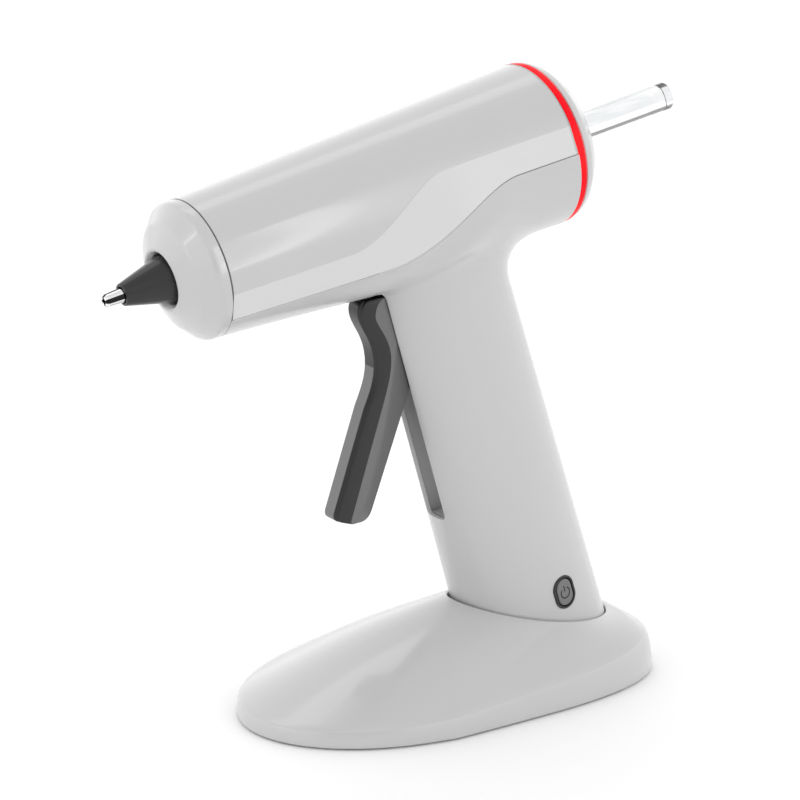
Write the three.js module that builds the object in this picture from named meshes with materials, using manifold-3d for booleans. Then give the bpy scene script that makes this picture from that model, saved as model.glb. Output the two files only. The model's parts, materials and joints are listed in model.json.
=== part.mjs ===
// A cordless glue gun standing in its weighted holder. Millimetres, +Z up, nozzle towards -X.
// The gun is modelled along its barrel (X rearwards, Z up), then tipped nose-down on its leaning handle.
import * as THREE from "three";
import { mergeVertices } from "three/addons/utils/BufferGeometryUtils.js";
import Module from "manifold-3d";

const wasm = await Module();
wasm.setup();

// ---- Driving dimensions -------------------------------------------------
const CLEARANCE = 0.3; // between pieces that touch
const WALL = 2.2; // moulded shells
const ROUND = 32; // segments of a large turned piece
const FINE = 16; // segments of a small turned piece

// Barrel, a slightly tapered tube. X is measured from the middle of the trigger zone.
const NOSE_X = -56.2; // seam between barrel and nose cap
const TAIL_X = 42.5; // seam between barrel and light ring
const NOSE_RADIUS = 17.3;
const TAIL_RADIUS = 21;
const BARREL_TILT = THREE.MathUtils.degToRad(9.8); // nose-down
const BARREL_HEIGHT = 132; // barrel axis above the table, at X = 0

// Line where the top cover meets the body, seen from the side
const SEAM_NOSE_Z = -10.1;
const SEAM_DROOP = -0.045;
const SEAM_TAIL_Z = 2;
const SEAM_RISE = [-11, 25];

// Handle, an oval tube that widens a little downwards
const HANDLE_X = 6.3; // where its axis crosses the barrel axis
const HANDLE_LEAN = THREE.MathUtils.degToRad(7.5); // from square to the barrel
const HANDLE_WORLD_LEAN = HANDLE_LEAN + BARREL_TILT;
const HANDLE_DEPTH = 17.8; // half depth at the barrel axis
const HANDLE_TAPER = 0.0165; // growth of the half depth per millimetre
const HANDLE_ASPECT = 0.715; // half width over half depth
const HANDLE_REACH = BARREL_HEIGHT + 18; // length of the raw tube before its foot is cut
const HANDLE_SHOULDER_Z = -8; // where the tube ends inside the barrel
const REAR_FILLET = 7.8; // radius of the blend behind the handle
const REAR_FILLET_WIDTH = 13;
const FOOT_SCREW_INSET = 5.3; // from the handle's edge
const FOOT_BOSS_RADIUS = 3.3;
const FOOT_CAP_THICKNESS = 2.2;
const FOOT_CAP_RECESS = 0.2; // of its lower face, above the handle's edge
const FOOT_CAP_REBATE = 0.6; // of the handle's wall round the cap

// Nose, nozzle and hot end
const SPIGOT_LENGTH = 4.4; // of the nose cap, inside the barrel
const CONE_BASE_RADIUS = 6.2;
const CONE_FRONT_X = NOSE_X - 20.4;
const TIP_X = CONE_FRONT_X - 4.8;
const TIP_ROOT_RADIUS = 4.2;
const TIP_BORE_RADIUS = 0.7;
const CHAMBER_FRONT_X = NOSE_X - 1.3;
const CHAMBER_WALL = 3.65; // round the stick's bore
const BRACKET_THICKNESS = 3.5;
const HEATER_THICKNESS = 2.2;
const HEATER_HALF_WIDTH = 5;
const CLIP_THICKNESS = 0.9;
const LEAD_RADIUS = 0.65;

// Rear end
const RING_WIDTH = 1.7; // light ring
const RING_DEPTH = 3.5; // of the ring's section, inwards from the barrel's radius
const RING_INNER_RADIUS = TAIL_RADIUS - RING_DEPTH;
const REAR_CAP_LENGTH = 7.6;
const REAR_CAP_FACE = 4.8; // from the cap's edge to the inside of its face
const LAMP_COUNT = 6;
const COVER_HOOK_REAR_X = 32;

// Glue stick and feed
const STICK_RADIUS = 3.5;
const STICK_LENGTH = 120;
const STICK_FRONT_X = CHAMBER_FRONT_X + 22.8; // its unmelted end
const STICK_TAIL_X = STICK_FRONT_X + STICK_LENGTH;
const STICK_GAP = 0.35; // radial room round the stick
const STICK_BORE = STICK_RADIUS + STICK_GAP;
const GUIDE_WALL = 2.1; // of the sleeve and the guide, beyond the stick's radius
const CARRIAGE_WALL = 3.1;
const FORK_TAB = 2; // thickness of the two tabs that the trigger's arm works between

// Trigger
const TRIGGER_WIDTH = 7.6;
const TRIGGER_BEVEL = 1.1;
const SLOT_SIDE_GAP = 0.5;
const SLOT_FOOT_Z = -87;
const SLOT_WALL = 1.3;
const SLOT_DEPTH = 10;
const PIVOT_INSET = 10; // behind the handle's front
const PIVOT = { x: HANDLE_X - HANDLE_DEPTH + PIVOT_INSET, z: -27 };
const PIN_RADIUS = 1.5;
const ARM_LENGTH = 17;
const ARM_REST = THREE.MathUtils.degToRad(9); // the arm leans this far back at rest
const ARM_HEAD_RADIUS = 2.2;
const ARM_TIP = {
  x: PIVOT.x + ARM_LENGTH * Math.sin(ARM_REST),
  z: PIVOT.z + ARM_LENGTH * Math.cos(ARM_REST),
};
const SLOT_HALF = TRIGGER_WIDTH / 2 + SLOT_SIDE_GAP;
const SPRING_Z = PIVOT.z - 18;
const SPRING_SEAT_X = PIVOT.x + 8.5;
const SPRING_FRONT_X = PIVOT.x - 1.9;
const SPRING_RADIUS = 2;
const SPRING_TURNS = 3;
const SPRING_WIRE_RADIUS = 0.4;

// Feed carriage, moved by the trigger's arm, and what lies between it and the nose
const CARRIAGE = {
  front: ARM_TIP.x - 4.66,
  rear: ARM_TIP.x + 8.34,
  radius: STICK_RADIUS + CARRIAGE_WALL,
};
const CHAMBER = {
  front: CHAMBER_FRONT_X,
  rear: CARRIAGE.front - 18.8,
  radius: STICK_BORE + CHAMBER_WALL,
};
const BRACKET_X = [CHAMBER.front + 7, CHAMBER.rear - 4.2];
const HEATER = {
  front: BRACKET_X[0] + 6,
  rear: BRACKET_X[1] - 3,
  half: HEATER_HALF_WIDTH,
  top: -CHAMBER.radius - 1.2,
  foot: -CHAMBER.radius - 1.2 - HEATER_THICKNESS,
};
const CLIP = {
  front: THREE.MathUtils.lerp(HEATER.front, HEATER.rear, 0.47),
  rear: THREE.MathUtils.lerp(HEATER.front, HEATER.rear, 0.87),
};
const LEAD_Z = HEATER.foot - 1.5;
const COVER_HOOK_X = [CLIP.front - 4.55, COVER_HOOK_REAR_X];

// Battery, board and power button, in the handle's own frame (X rearwards, Z up along the handle)
const CELL_RADIUS = 9.2;
const CELL_LENGTH = 65;
const CELL_TOP_Z = -34;
const CELL_X = HANDLE_DEPTH - 11.8; // against the handle's rear
const CELL_FOOT_Z = CELL_TOP_Z - CELL_LENGTH;
const CONTACT_THICKNESS = 0.5;
const BUTTON_X = 3.9;
const BUTTON_RISE = 17.07; // above the handle's foot
const BUTTON_WIDTH = 4.8;
const BUTTON_HEIGHT = 7.2;
const BEZEL_RIM = 1;
const BOARD_THICKNESS = 1.2;
const BOARD_BEHIND_FACE = 6.81; // of the handle, at the power button
const BOARD_ABOVE_BUTTON = 11.7;
const SWITCH_FACE = 5; // below the handle's surface
const SWITCH_WIDTH = 4.6;
const PORT = { halfWidth: 4.5, halfHeight: 1.6, wall: 0.4, depth: 8 };
const PORT_X = 1;

// Holder
const STAND_WAIST_X = 5; // widest place
const STAND_FRONT_REACH = 47;
const STAND_REAR_MARGIN = 6.76; // behind the socket's rim
const STAND_HALF_WIDTH = 32.8;
const STAND_REAR_SQUARENESS = 3.5;
const STAND_SKIRT_Z = 0.5; // lower edge of the shell above the table
const STAND_FRONT_EDGE_Z = 5;
const STAND_EDGE_RISE = 7.5;
const STAND_WALL_LEAN = 1.2;
const STAND_REAR_LEAN = 3.2; // further lean of the wall at the rear
const STAND_CROWN = 0.12;
const RIM_Z = 17;
const RIM_SLOPE = 5.3;
const RIM_BOW = 0.6;
const SOCKET_FLOOR_Z = 6;
const SOCKET_FIT = 0.45;
const FOOT_PAD_RADIUS = 5;
const BASE_PLATE_THICKNESS = 1.6;
const SINK_DEPTH = 0.9; // of the plate's screw holes
const SCREW_SHANK_RADIUS = 1.1;
const SCREW_HEAD_RADIUS = 2.2;
const SCREW_HEAD_HEIGHT = 1.3;
const SCREW_LENGTH = 7;
const SCREW_BOSS_RADIUS = 3;
const PLATE_Z = STAND_SKIRT_Z + 0.4;
const PLATE_TOP = PLATE_Z + BASE_PLATE_THICKNESS;
const BALLAST = { front: -13, rear: 14, half: 15, thickness: 4 };
const CASE_FOOT_Z = SOCKET_FLOOR_Z + CLEARANCE; // lower edge of the handle
const CAP_TOP_Z = CASE_FOOT_Z + FOOT_CAP_RECESS + FOOT_CAP_THICKNESS;

// ---- Materials ----------------------------------------------------------
const finish = (color, roughness, metalness = 0) =>
  new THREE.MeshStandardMaterial({ color, roughness, metalness });
const WHITE = finish(0xdcdcda, 0.35);
const DARK = finish(0x3b3c3e, 0.45);
const CHROME = finish(0xd8d8d8, 0.12, 1);
const ALUMINIUM = finish(0xb4b6b8, 0.4, 1);
const STEEL = finish(0x9a9c9e, 0.35, 1);
const RED = finish(0xe0141c, 0.25);
const SILICONE = finish(0xb5462a, 0.6);
const INNER_PLASTIC = finish(0x77797c, 0.6);
const CLEAR = finish(0xf1f3f3, 0.1);
const GREEN_BOARD = finish(0x1c5a36, 0.5);
const CELL_WRAP = finish(0x2c5f9e, 0.4);
const RUBBER = finish(0x26272a, 0.8);
const CERAMIC = finish(0xe8e4d8, 0.7);

// ---- Solids -------------------------------------------------------------
function solid(geometry) {
  const bare = new THREE.BufferGeometry();
  bare.setAttribute("position", geometry.getAttribute("position"));
  if (geometry.index) bare.setIndex(geometry.index);
  const merged = mergeVertices(bare, 1e-4);
  return new wasm.Manifold(
    new wasm.Mesh({
      numProp: 3,
      vertProperties: merged.getAttribute("position").array,
      triVerts: new Uint32Array(merged.index.array),
    }),
  );
}

function geometryOf(manifold) {
  const mesh = manifold.getMesh();
  const geometry = new THREE.BufferGeometry();
  geometry.setAttribute("position", new THREE.BufferAttribute(mesh.vertProperties, 3));
  geometry.setIndex(new THREE.BufferAttribute(mesh.triVerts, 1));
  geometry.computeVertexNormals();
  return geometry;
}

function node(name, material, shape) {
  const geometry = shape.isBufferGeometry ? shape : geometryOf(shape);
  const mesh = new THREE.Mesh(geometry, material);
  mesh.name = name;
  return mesh;
}

const join = (...shapes) => shapes.reduce((a, b) => a.add(b));
const cut = (base, ...tools) => tools.reduce((a, b) => a.subtract(b), base);

// A turned piece about the X axis. The outline is a closed list of [x, radius].
function turned(outline, segments = ROUND) {
  const points = [...outline, outline[0]].map(([x, r]) => new THREE.Vector2(r, x));
  return solid(new THREE.LatheGeometry(points, segments).rotateZ(-Math.PI / 2));
}

// A straight tube about the X axis, or a bar when the inner radius is zero.
const tubeX = (x0, x1, outer, inner = 0, segments = FINE) =>
  turned([[x0, inner], [x0, outer], [x1, outer], [x1, inner]], segments);

// A cone frustum about the X axis.
const coneX = (x0, r0, x1, r1, segments = ROUND) =>
  turned([[x0, 0], [x0, r0], [x1, r1], [x1, 0]], segments);

function block(x0, x1, y0, y1, z0, z1) {
  const box = new THREE.BoxGeometry(x1 - x0, y1 - y0, z1 - z0);
  return solid(box.translate((x0 + x1) / 2, (y0 + y1) / 2, (z0 + z1) / 2));
}

// An outline in the X-Z plane, extruded to both sides of Y = 0.
function slab(outline, width, bevel = 0) {
  const shape = Array.isArray(outline)
    ? new THREE.Shape(outline.map(([x, z]) => new THREE.Vector2(x, z)))
    : outline;
  const geometry = new THREE.ExtrudeGeometry(shape, {
    depth: width - 2 * bevel,
    bevelEnabled: bevel > 0,
    bevelThickness: bevel,
    bevelSize: bevel,
    bevelOffset: -bevel,
    bevelSegments: 2,
    curveSegments: 6,
  });
  return solid(geometry.rotateX(Math.PI / 2).translate(0, width / 2 - bevel, 0));
}

// An upright post about Z.
function postZ(x, y, z0, z1, radius, segments = FINE) {
  const post = new THREE.CylinderGeometry(radius, radius, z1 - z0, segments);
  return solid(post.rotateX(Math.PI / 2).translate(x, y, (z0 + z1) / 2));
}

// A cross pin along Y.
function pinY(x, z, halfLength, radius) {
  return solid(new THREE.CylinderGeometry(radius, radius, 2 * halfLength, FINE).translate(x, 0, z));
}

// ---- Frames -------------------------------------------------------------
const handleFrame = new THREE.Matrix4()
  .makeRotationY(-HANDLE_LEAN)
  .setPosition(HANDLE_X, 0, 0);
const gunFrame = new THREE.Matrix4()
  .makeRotationY(-BARREL_TILT)
  .setPosition(0, 0, BARREL_HEIGHT);
const handleInWorld = gunFrame.clone().multiply(handleFrame);

const moved = (shape, matrix) => shape.transform(matrix.elements);

// The space between two levels above the table, seen from the gun's frame.
function levelsInGun(z0, z1) {
  return moved(block(-200, 200, -60, 60, z0, z1), gunFrame.clone().invert());
}

// ---- Shared shapes ------------------------------------------------------
const barrelRadius = (x) =>
  NOSE_RADIUS + ((TAIL_RADIUS - NOSE_RADIUS) * (x - NOSE_X)) / (TAIL_X - NOSE_X);

const barrelCone = (x0, x1, inset) =>
  coneX(x0, barrelRadius(x0) - inset, x1, barrelRadius(x1) - inset);

const handleDepth = (z) => HANDLE_DEPTH - HANDLE_TAPER * z;

// Where a level above the table crosses a place along X, in the handle's frame.
function levelLine(level, x) {
  const drop = BARREL_HEIGHT + HANDLE_X * Math.sin(BARREL_TILT) - level;
  return -(drop + x * Math.sin(HANDLE_WORLD_LEAN)) / Math.cos(HANDLE_WORLD_LEAN);
}

// The height of the cap's lower face at a place along X, in the handle's frame.
const footLine = (x) => levelLine(CASE_FOOT_Z + FOOT_CAP_RECESS, x);

const handleFootDepth = handleDepth(levelLine(SOCKET_FLOOR_Z, 0));
const footScrewReach = handleFootDepth - FOOT_SCREW_INSET;
const FOOT_SCREW_X = [-footScrewReach, footScrewReach];
const BUTTON_Z = levelLine(CASE_FOOT_Z, 0) + BUTTON_RISE;
const BOARD_TOP_Z = BUTTON_Z + BOARD_ABOVE_BUTTON;

// The handle's oval tube in its own frame, drawn in by the inset.
function handleOval(z0, z1, inset) {
  const rows = [z0, z1].map((z) => [z, handleDepth(z) - inset]);
  const tube = new THREE.CylinderGeometry(rows[1][1], rows[0][1], z1 - z0, ROUND);
  const aspect = (handleDepth(z1) * HANDLE_ASPECT - inset) / (handleDepth(z1) - inset);
  return solid(tube.rotateX(Math.PI / 2).scale(1, aspect, 1).translate(0, 0, (z0 + z1) / 2));
}

const smooth = (from, to, x) => {
  const t = THREE.MathUtils.clamp((x - from) / (to - from), 0, 1);
  return t * t * (3 - 2 * t);
};

function seamZ(x) {
  const nose = SEAM_NOSE_Z + SEAM_DROOP * (x - NOSE_X);
  return THREE.MathUtils.lerp(nose, SEAM_TAIL_Z, smooth(...SEAM_RISE, x));
}

// Everything above the cover's seam, which runs the barrel's length in an S.
function aboveSeam(offset) {
  const outline = [];
  const stretch = [NOSE_X - 5, ...Array.from({ length: 13 }, (_, i) => -14 + i * 3.5), TAIL_X + 5];
  for (const x of stretch) outline.push([x, seamZ(x) + offset]);
  outline.push([TAIL_X + 5, 60], [NOSE_X - 5, 60]);
  return slab(outline, 80);
}

// ---- Gun casing ---------------------------------------------------------
// A point of the handle's middle plane, in the gun's frame.
function handlePoint(x, z) {
  const point = new THREE.Vector3(x, 0, z).applyMatrix4(handleFrame);
  return new THREE.Vector2(point.x, point.z);
}

// The blend behind the handle: an arc that leaves the barrel's underside and meets the handle's back.
function rearFillet() {
  const slope = (TAIL_RADIUS - NOSE_RADIUS) / (TAIL_X - NOSE_X);
  const along = new THREE.Vector2(1, -slope).normalize();
  const start = handlePoint(handleDepth(0), 0);
  const down = handlePoint(handleDepth(-50), -50).sub(start).normalize();
  const reach = -(start.y + barrelRadius(start.x)) / (down.y + slope * down.x);
  const corner = start.addScaledVector(down, reach);
  const halfAngle = Math.acos(along.dot(down)) / 2;
  const tangent = REAR_FILLET / Math.tan(halfAngle);
  const toCentre = along.clone().add(down).setLength(REAR_FILLET / Math.sin(halfAngle));
  const centre = corner.clone().add(toCentre);
  const top = corner.clone().addScaledVector(along, tangent);
  const foot = corner.clone().addScaledVector(down, tangent);
  const radius = REAR_FILLET + 0.05;
  const angles = [top, foot].map((end) => Math.atan2(end.y - centre.y, end.x - centre.x));
  const outline = new THREE.Shape();
  outline.moveTo(foot.x - 8, foot.y);
  outline.lineTo(foot.x - 8, corner.y + 4);
  outline.lineTo(top.x, corner.y + 4);
  outline.absarc(centre.x, centre.y, radius, angles[0], angles[1] + (angles[1] < 0 ? 2 * Math.PI : 0));
  return slab(outline, REAR_FILLET_WIDTH);
}

// The outer form of barrel and handle together.
function gunForm() {
  const handle = moved(handleOval(-HANDLE_REACH, HANDLE_SHOULDER_Z, 0), handleFrame);
  return join(barrelCone(NOSE_X, TAIL_X, 0), handle, rearFillet());
}

function gunCavity() {
  const handle = moved(handleOval(-HANDLE_REACH - 5, -6, WALL), handleFrame);
  return join(barrelCone(NOSE_X - 1, TAIL_X + 1, WALL), handle);
}

// Two walls that guide the trigger, a seat for its spring, and bosses for the foot screws.
function innerRibs(form) {
  const slotTop = -barrelRadius(0) + WALL / 2;
  const front = moved(handleOval(SLOT_FOOT_Z - 6, -10, 0), handleFrame);
  const reach = new THREE.Matrix4().makeTranslation(SLOT_DEPTH, 0, 0);
  const band = cut(front, moved(front, reach));
  const half = SLOT_HALF + SLOT_WALL;
  const walls = band.intersect(block(-30, 30, -half, half, SLOT_FOOT_Z - SLOT_WALL, slotTop));
  const seat = block(PIVOT.x - 2.5, SPRING_SEAT_X + SLOT_WALL, -half, half, SPRING_Z - 4.5, SPRING_Z + 4.5);
  const ears = block(PIVOT.x - 4.5, PIVOT.x + 4.5, -half, half, PIVOT.z - 5, slotTop);
  const bosses = FOOT_SCREW_X.map((x) =>
    moved(postZ(x, 0, -HANDLE_REACH + 10, footLine(x) + 12, FOOT_BOSS_RADIUS, 16), handleFrame),
  );
  return join(walls, seat, ears, ...bosses).intersect(form);
}

function triggerSlot() {
  const top = -barrelRadius(-9) - 0.6;
  const channel = block(PIVOT.x - 28.5, SPRING_SEAT_X, -SLOT_HALF, SLOT_HALF, SLOT_FOOT_Z, top);
  const armFront = PIVOT.x - 4.5;
  const armTop = PIVOT.z + ARM_LENGTH;
  const armWay = block(armFront, SPRING_SEAT_X, -SLOT_HALF, SLOT_HALF, PIVOT.z - 12, armTop);
  const pinHole = pinY(PIVOT.x, PIVOT.z, 30, PIN_RADIUS + CLEARANCE);
  return join(channel, armWay, pinHole.intersect(gunCavity()));
}

function bodyShell() {
  const form = gunForm();
  const hollow = cut(form, gunCavity());
  const foot = levelsInGun(-60, CASE_FOOT_Z);
  const capSpace = moved(handleOval(-HANDLE_REACH, -110, WALL - FOOT_CAP_REBATE), handleFrame);
  const capSeat = capSpace.intersect(levelsInGun(-60, CAP_TOP_Z + CLEARANCE));
  const pilots = FOOT_SCREW_X.map((x) =>
    moved(postZ(x, 0, -HANDLE_REACH, footLine(x) + 10, SCREW_SHANK_RADIUS + CLEARANCE, 12), handleFrame),
  );
  const margin = 2 * BEZEL_RIM + 0.4;
  const bore = stadium(BUTTON_WIDTH + margin, BUTTON_HEIGHT + margin, -6, 6);
  const buttonHole = moved(moved(bore, buttonFrame()), handleFrame);
  return cut(
    join(hollow, innerRibs(form)),
    triggerSlot(),
    aboveSeam(-CLEARANCE / 2),
    foot,
    capSeat,
    ...pilots,
    buttonHole,
  );
}

// The cover with four hooks that reach down inside the body.
function topCover() {
  const sleeve = (outer, inner) =>
    cut(barrelCone(NOSE_X, TAIL_X, outer), barrelCone(NOSE_X - 1, TAIL_X + 1, inner));
  const upper = sleeve(0, WALL).intersect(aboveSeam(CLEARANCE / 2));
  const liner = sleeve(WALL + CLEARANCE, WALL + 1.6);
  const bridge = sleeve(WALL - 0.4, WALL + 1.6);
  const hooks = COVER_HOOK_X.map((x) => {
    const z = seamZ(x);
    const tongue = liner.intersect(block(x - 3, x + 3, -40, 40, z - 3.5, z + 4));
    const root = bridge.intersect(block(x - 3, x + 3, -40, 40, z + 1, z + 4));
    return join(tongue, root);
  });
  return join(upper, ...hooks);
}

function noseCap() {
  const spigot = barrelRadius(NOSE_X) - WALL - CLEARANCE;
  const mouth = CONE_BASE_RADIUS + CLEARANCE;
  const across = (share) => THREE.MathUtils.lerp(mouth, NOSE_RADIUS, share);
  // Distance ahead of the seam, and share of the way from the mouth to the barrel's radius
  const outside = [[9, 0], [8.6, 0.213], [7.5, 0.417], [6.2, 0.602], [4.8, 0.769], [4, 0.907], [2.6, 0.981]];
  return turned([
    ...outside.map(([ahead, share]) => [NOSE_X - ahead, across(share)]),
    [NOSE_X - CLEARANCE, NOSE_RADIUS],
    [NOSE_X - CLEARANCE, spigot],
    [NOSE_X + SPIGOT_LENGTH, spigot],
    [NOSE_X + SPIGOT_LENGTH, spigot - 1.8],
    [NOSE_X - 2.5, spigot - 1.8],
    [NOSE_X - 5.4, across(0.38)],
    [NOSE_X - 6.6, mouth],
  ]);
}

function lightRing() {
  const x0 = TAIL_X + CLEARANCE;
  return turned([
    [x0, RING_INNER_RADIUS],
    [x0, TAIL_RADIUS - 0.1],
    [x0 + RING_WIDTH, TAIL_RADIUS - 0.1],
    [x0 + RING_WIDTH, RING_INNER_RADIUS],
  ]);
}

// The guide's flange lies against the inside of the rear cap's face.
const guideFlangeRadius = 0.562 * TAIL_RADIUS;

function rearCap() {
  const x0 = TAIL_X + RING_WIDTH + 2 * CLEARANCE;
  const bore = STICK_RADIUS + 0.6;
  const spigot = RING_INNER_RADIUS - CLEARANCE;
  const across = (share) => THREE.MathUtils.lerp(bore + 1, TAIL_RADIUS, share);
  return turned([
    [x0, TAIL_RADIUS - 0.2],
    [x0 + 1, TAIL_RADIUS - 0.5],
    [x0 + 3.2, across(0.893)],
    [x0 + 5.4, across(0.736)],
    [x0 + 7, across(0.535)],
    [x0 + REAR_CAP_LENGTH, across(0.308)],
    [x0 + REAR_CAP_LENGTH, bore + 1],
    [x0 + REAR_CAP_LENGTH - 0.8, bore],
    [x0 + REAR_CAP_FACE, bore],
    [x0 + REAR_CAP_FACE, guideFlangeRadius + 0.8],
    [x0 + 1.6, spigot - 1.8],
    [x0 - RING_WIDTH - 1, spigot - 1.8],
    [x0 - RING_WIDTH - 1, spigot],
    [x0, spigot],
  ]);
}

// The handle's closing plate, let into its foot, with the charging socket's opening.
function footCap() {
  const inset = WALL - FOOT_CAP_REBATE + CLEARANCE;
  const plate = moved(handleOval(-HANDLE_REACH, -110, inset), handleFrame);
  const body = plate.intersect(levelsInGun(CASE_FOOT_Z + FOOT_CAP_RECESS, CAP_TOP_Z));
  const upright = (x, z1, radius) => moved(postZ(x, 0, -HANDLE_REACH, z1, radius), handleFrame);
  const holes = FOOT_SCREW_X.map((x) => upright(x, footLine(x) + 12, SCREW_SHANK_RADIUS + CLEARANCE));
  const sinks = FOOT_SCREW_X.map((x) =>
    upright(x, footLine(x) + SCREW_HEAD_HEIGHT + 0.4, SCREW_HEAD_RADIUS + CLEARANCE),
  );
  const [w, h] = [PORT.halfWidth + 0.4, PORT.halfHeight + 0.4];
  const mouth = block(PORT_X - w, PORT_X + w, PORT_Y - h, PORT_Y + h, -HANDLE_REACH, -110);
  return cut(body, ...holes, ...sinks, moved(mouth, handleFrame));
}

function nozzleCone() {
  return turned([
    [NOSE_X - 3.8, TIP_ROOT_RADIUS + 0.4],
    [NOSE_X - 3.8, CONE_BASE_RADIUS],
    [NOSE_X - 8.7, CONE_BASE_RADIUS],
    [CONE_FRONT_X + 0.3, 2.75],
    [CONE_FRONT_X, 2.5],
    [CONE_FRONT_X, 2.05],
    [NOSE_X - 9.8, 3],
    [NOSE_X - 5.8, TIP_ROOT_RADIUS + 0.4],
  ].reverse(), 36);
}

const tipRearX = CHAMBER.front + 1.5;

function nozzleTip() {
  return turned([
    [TIP_X, TIP_BORE_RADIUS],
    [TIP_X, 1.1],
    [TIP_X + 0.4, 1.45],
    [CONE_FRONT_X + 0.1, 1.75],
    [NOSE_X - 9.8, 2.65],
    [NOSE_X - 5.8, TIP_ROOT_RADIUS],
    [tipRearX, TIP_ROOT_RADIUS],
    [tipRearX, TIP_BORE_RADIUS],
  ]);
}

function meltChamber() {
  const throat = CHAMBER.front + 13.5; // the stick melts no further back than this
  const barrel = turned([
    [CHAMBER.front, TIP_ROOT_RADIUS + CLEARANCE],
    [CHAMBER.front, CHAMBER.radius],
    [CHAMBER.rear, CHAMBER.radius],
    [CHAMBER.rear, STICK_BORE],
    [throat, STICK_BORE],
    [throat - 4, 1.5],
    [tipRearX + CLEARANCE, 1.5],
    [tipRearX + CLEARANCE, TIP_ROOT_RADIUS + CLEARANCE],
  ], 32);
  const { front, rear, half, top } = HEATER;
  const heelBlock = block(front - 0.5, rear + 0.5, -half - 1, half + 1, top + CLEARANCE, -1);
  const heel = cut(heelBlock, tubeX(CHAMBER.front, CHAMBER.rear, STICK_BORE + 0.5));
  return join(barrel, heel);
}

function heaterPlate() {
  const { front, rear, half, top, foot } = HEATER;
  return block(front, rear, -half, half, foot, top);
}

// A sprung strap that presses the heater against the chamber.
function heaterClip() {
  const { front, rear } = CLIP;
  const inside = CHAMBER.radius + 0.4;
  const outside = inside + 0.7;
  const top = HEATER.foot - CLEARANCE;
  const foot = top - CLIP_THICKNESS;
  const strap = block(front, rear, -outside, outside, foot, top);
  const left = block(front, rear, -outside, -inside, foot, 3);
  const right = block(front, rear, inside, outside, foot, 3);
  return join(strap, left, right);
}

function chamberBracket(x0) {
  const x1 = x0 + BRACKET_THICKNESS;
  const disc = barrelCone(x0, x1, WALL + CLEARANCE);
  const bore = tubeX(x0 - 1, x1 + 1, CHAMBER.radius + CLEARANCE);
  const through = (y0, y1, z0, z1) => block(x0 - 1, x1 + 1, y0, y1, z0, z1);
  const window = CHAMBER.radius + 2.3;
  const windows = join(through(-30, -window, -3, 6), through(window, 30, -3, 6));
  const leadGap = through(-9, 9, -30, LEAD_Z);
  return cut(disc, bore, leadGap, windows);
}

function inletSleeve() {
  const front = CHAMBER.rear + CLEARANCE;
  const collar = CHAMBER.radius - 0.3;
  const outer = STICK_RADIUS + GUIDE_WALL;
  return turned([
    [front, STICK_BORE],
    [front, collar],
    [front + 1.4, collar],
    [front + 2, outer],
    [front + 9.6, outer - 0.4],
    [front + 9.6, STICK_BORE],
  ], FINE);
}

// ---- Feed ---------------------------------------------------------------
function feedCarriage() {
  const sleeve = tubeX(CARRIAGE.front, CARRIAGE.rear, CARRIAGE.radius, STICK_BORE);
  const forkGap = ARM_HEAD_RADIUS + CLEARANCE;
  const tabs = [-1, 1].map((side) => {
    const inner = ARM_TIP.x + side * forkGap;
    const outer = inner + side * FORK_TAB;
    const [x0, x1] = [Math.min(inner, outer), Math.max(inner, outer)];
    return block(x0, x1, -3.6, 3.6, ARM_TIP.z - 2.4, -STICK_RADIUS - 1.3);
  });
  const pocket = block(CARRIAGE.front + 4.1, CARRIAGE.front + 10.9, -2, 2, 2, CARRIAGE.radius + 5);
  return cut(join(sleeve, ...tabs), pocket);
}

// The toothed jaw that bites the stick when the carriage moves forward.
function gripJaw() {
  // Along the carriage from its front, and outwards from the stick
  const profile = [[4.5, 0.4], [9.5, 0.4], [10.5, 1.7], [10.5, 5.9], [6.9, 5.9], [4.5, 2.9]];
  return slab(profile.map(([x, z]) => [CARRIAGE.front + x, STICK_RADIUS + z]), 3.4);
}

function stickGuide() {
  const front = CARRIAGE.rear + 6;
  const outer = STICK_RADIUS + GUIDE_WALL;
  const bore = STICK_RADIUS + 0.5;
  const flange = TAIL_X + RING_WIDTH + CLEARANCE + REAR_CAP_FACE;
  return turned([
    [front, bore],
    [front, outer],
    [flange - 1.6, outer],
    [flange - 1.6, guideFlangeRadius],
    [flange, guideFlangeRadius],
    [flange, bore],
  ], FINE);
}

function glueStick() {
  const tail = STICK_TAIL_X;
  return turned([
    [STICK_FRONT_X, 0],
    [STICK_FRONT_X, STICK_RADIUS],
    [tail - 0.3, STICK_RADIUS],
    [tail, STICK_RADIUS - 0.3],
    [tail, 0],
  ], FINE);
}

function ledBoard() {
  const rear = TAIL_X - 1.4;
  const ring = tubeX(rear - BOARD_THICKNESS, rear, barrelRadius(TAIL_X) - WALL - 0.5, 7, ROUND);
  const lamps = Array.from({ length: LAMP_COUNT }, (_, i) => {
    const turn = new THREE.Matrix4().makeRotationX((i * 2 * Math.PI) / LAMP_COUNT);
    const radius = RING_INNER_RADIUS - 0.1;
    return moved(block(rear - 0.2, rear + 0.5, -1.2, 1.2, radius - 2.4, radius), turn);
  });
  return join(ring, ...lamps);
}

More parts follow.
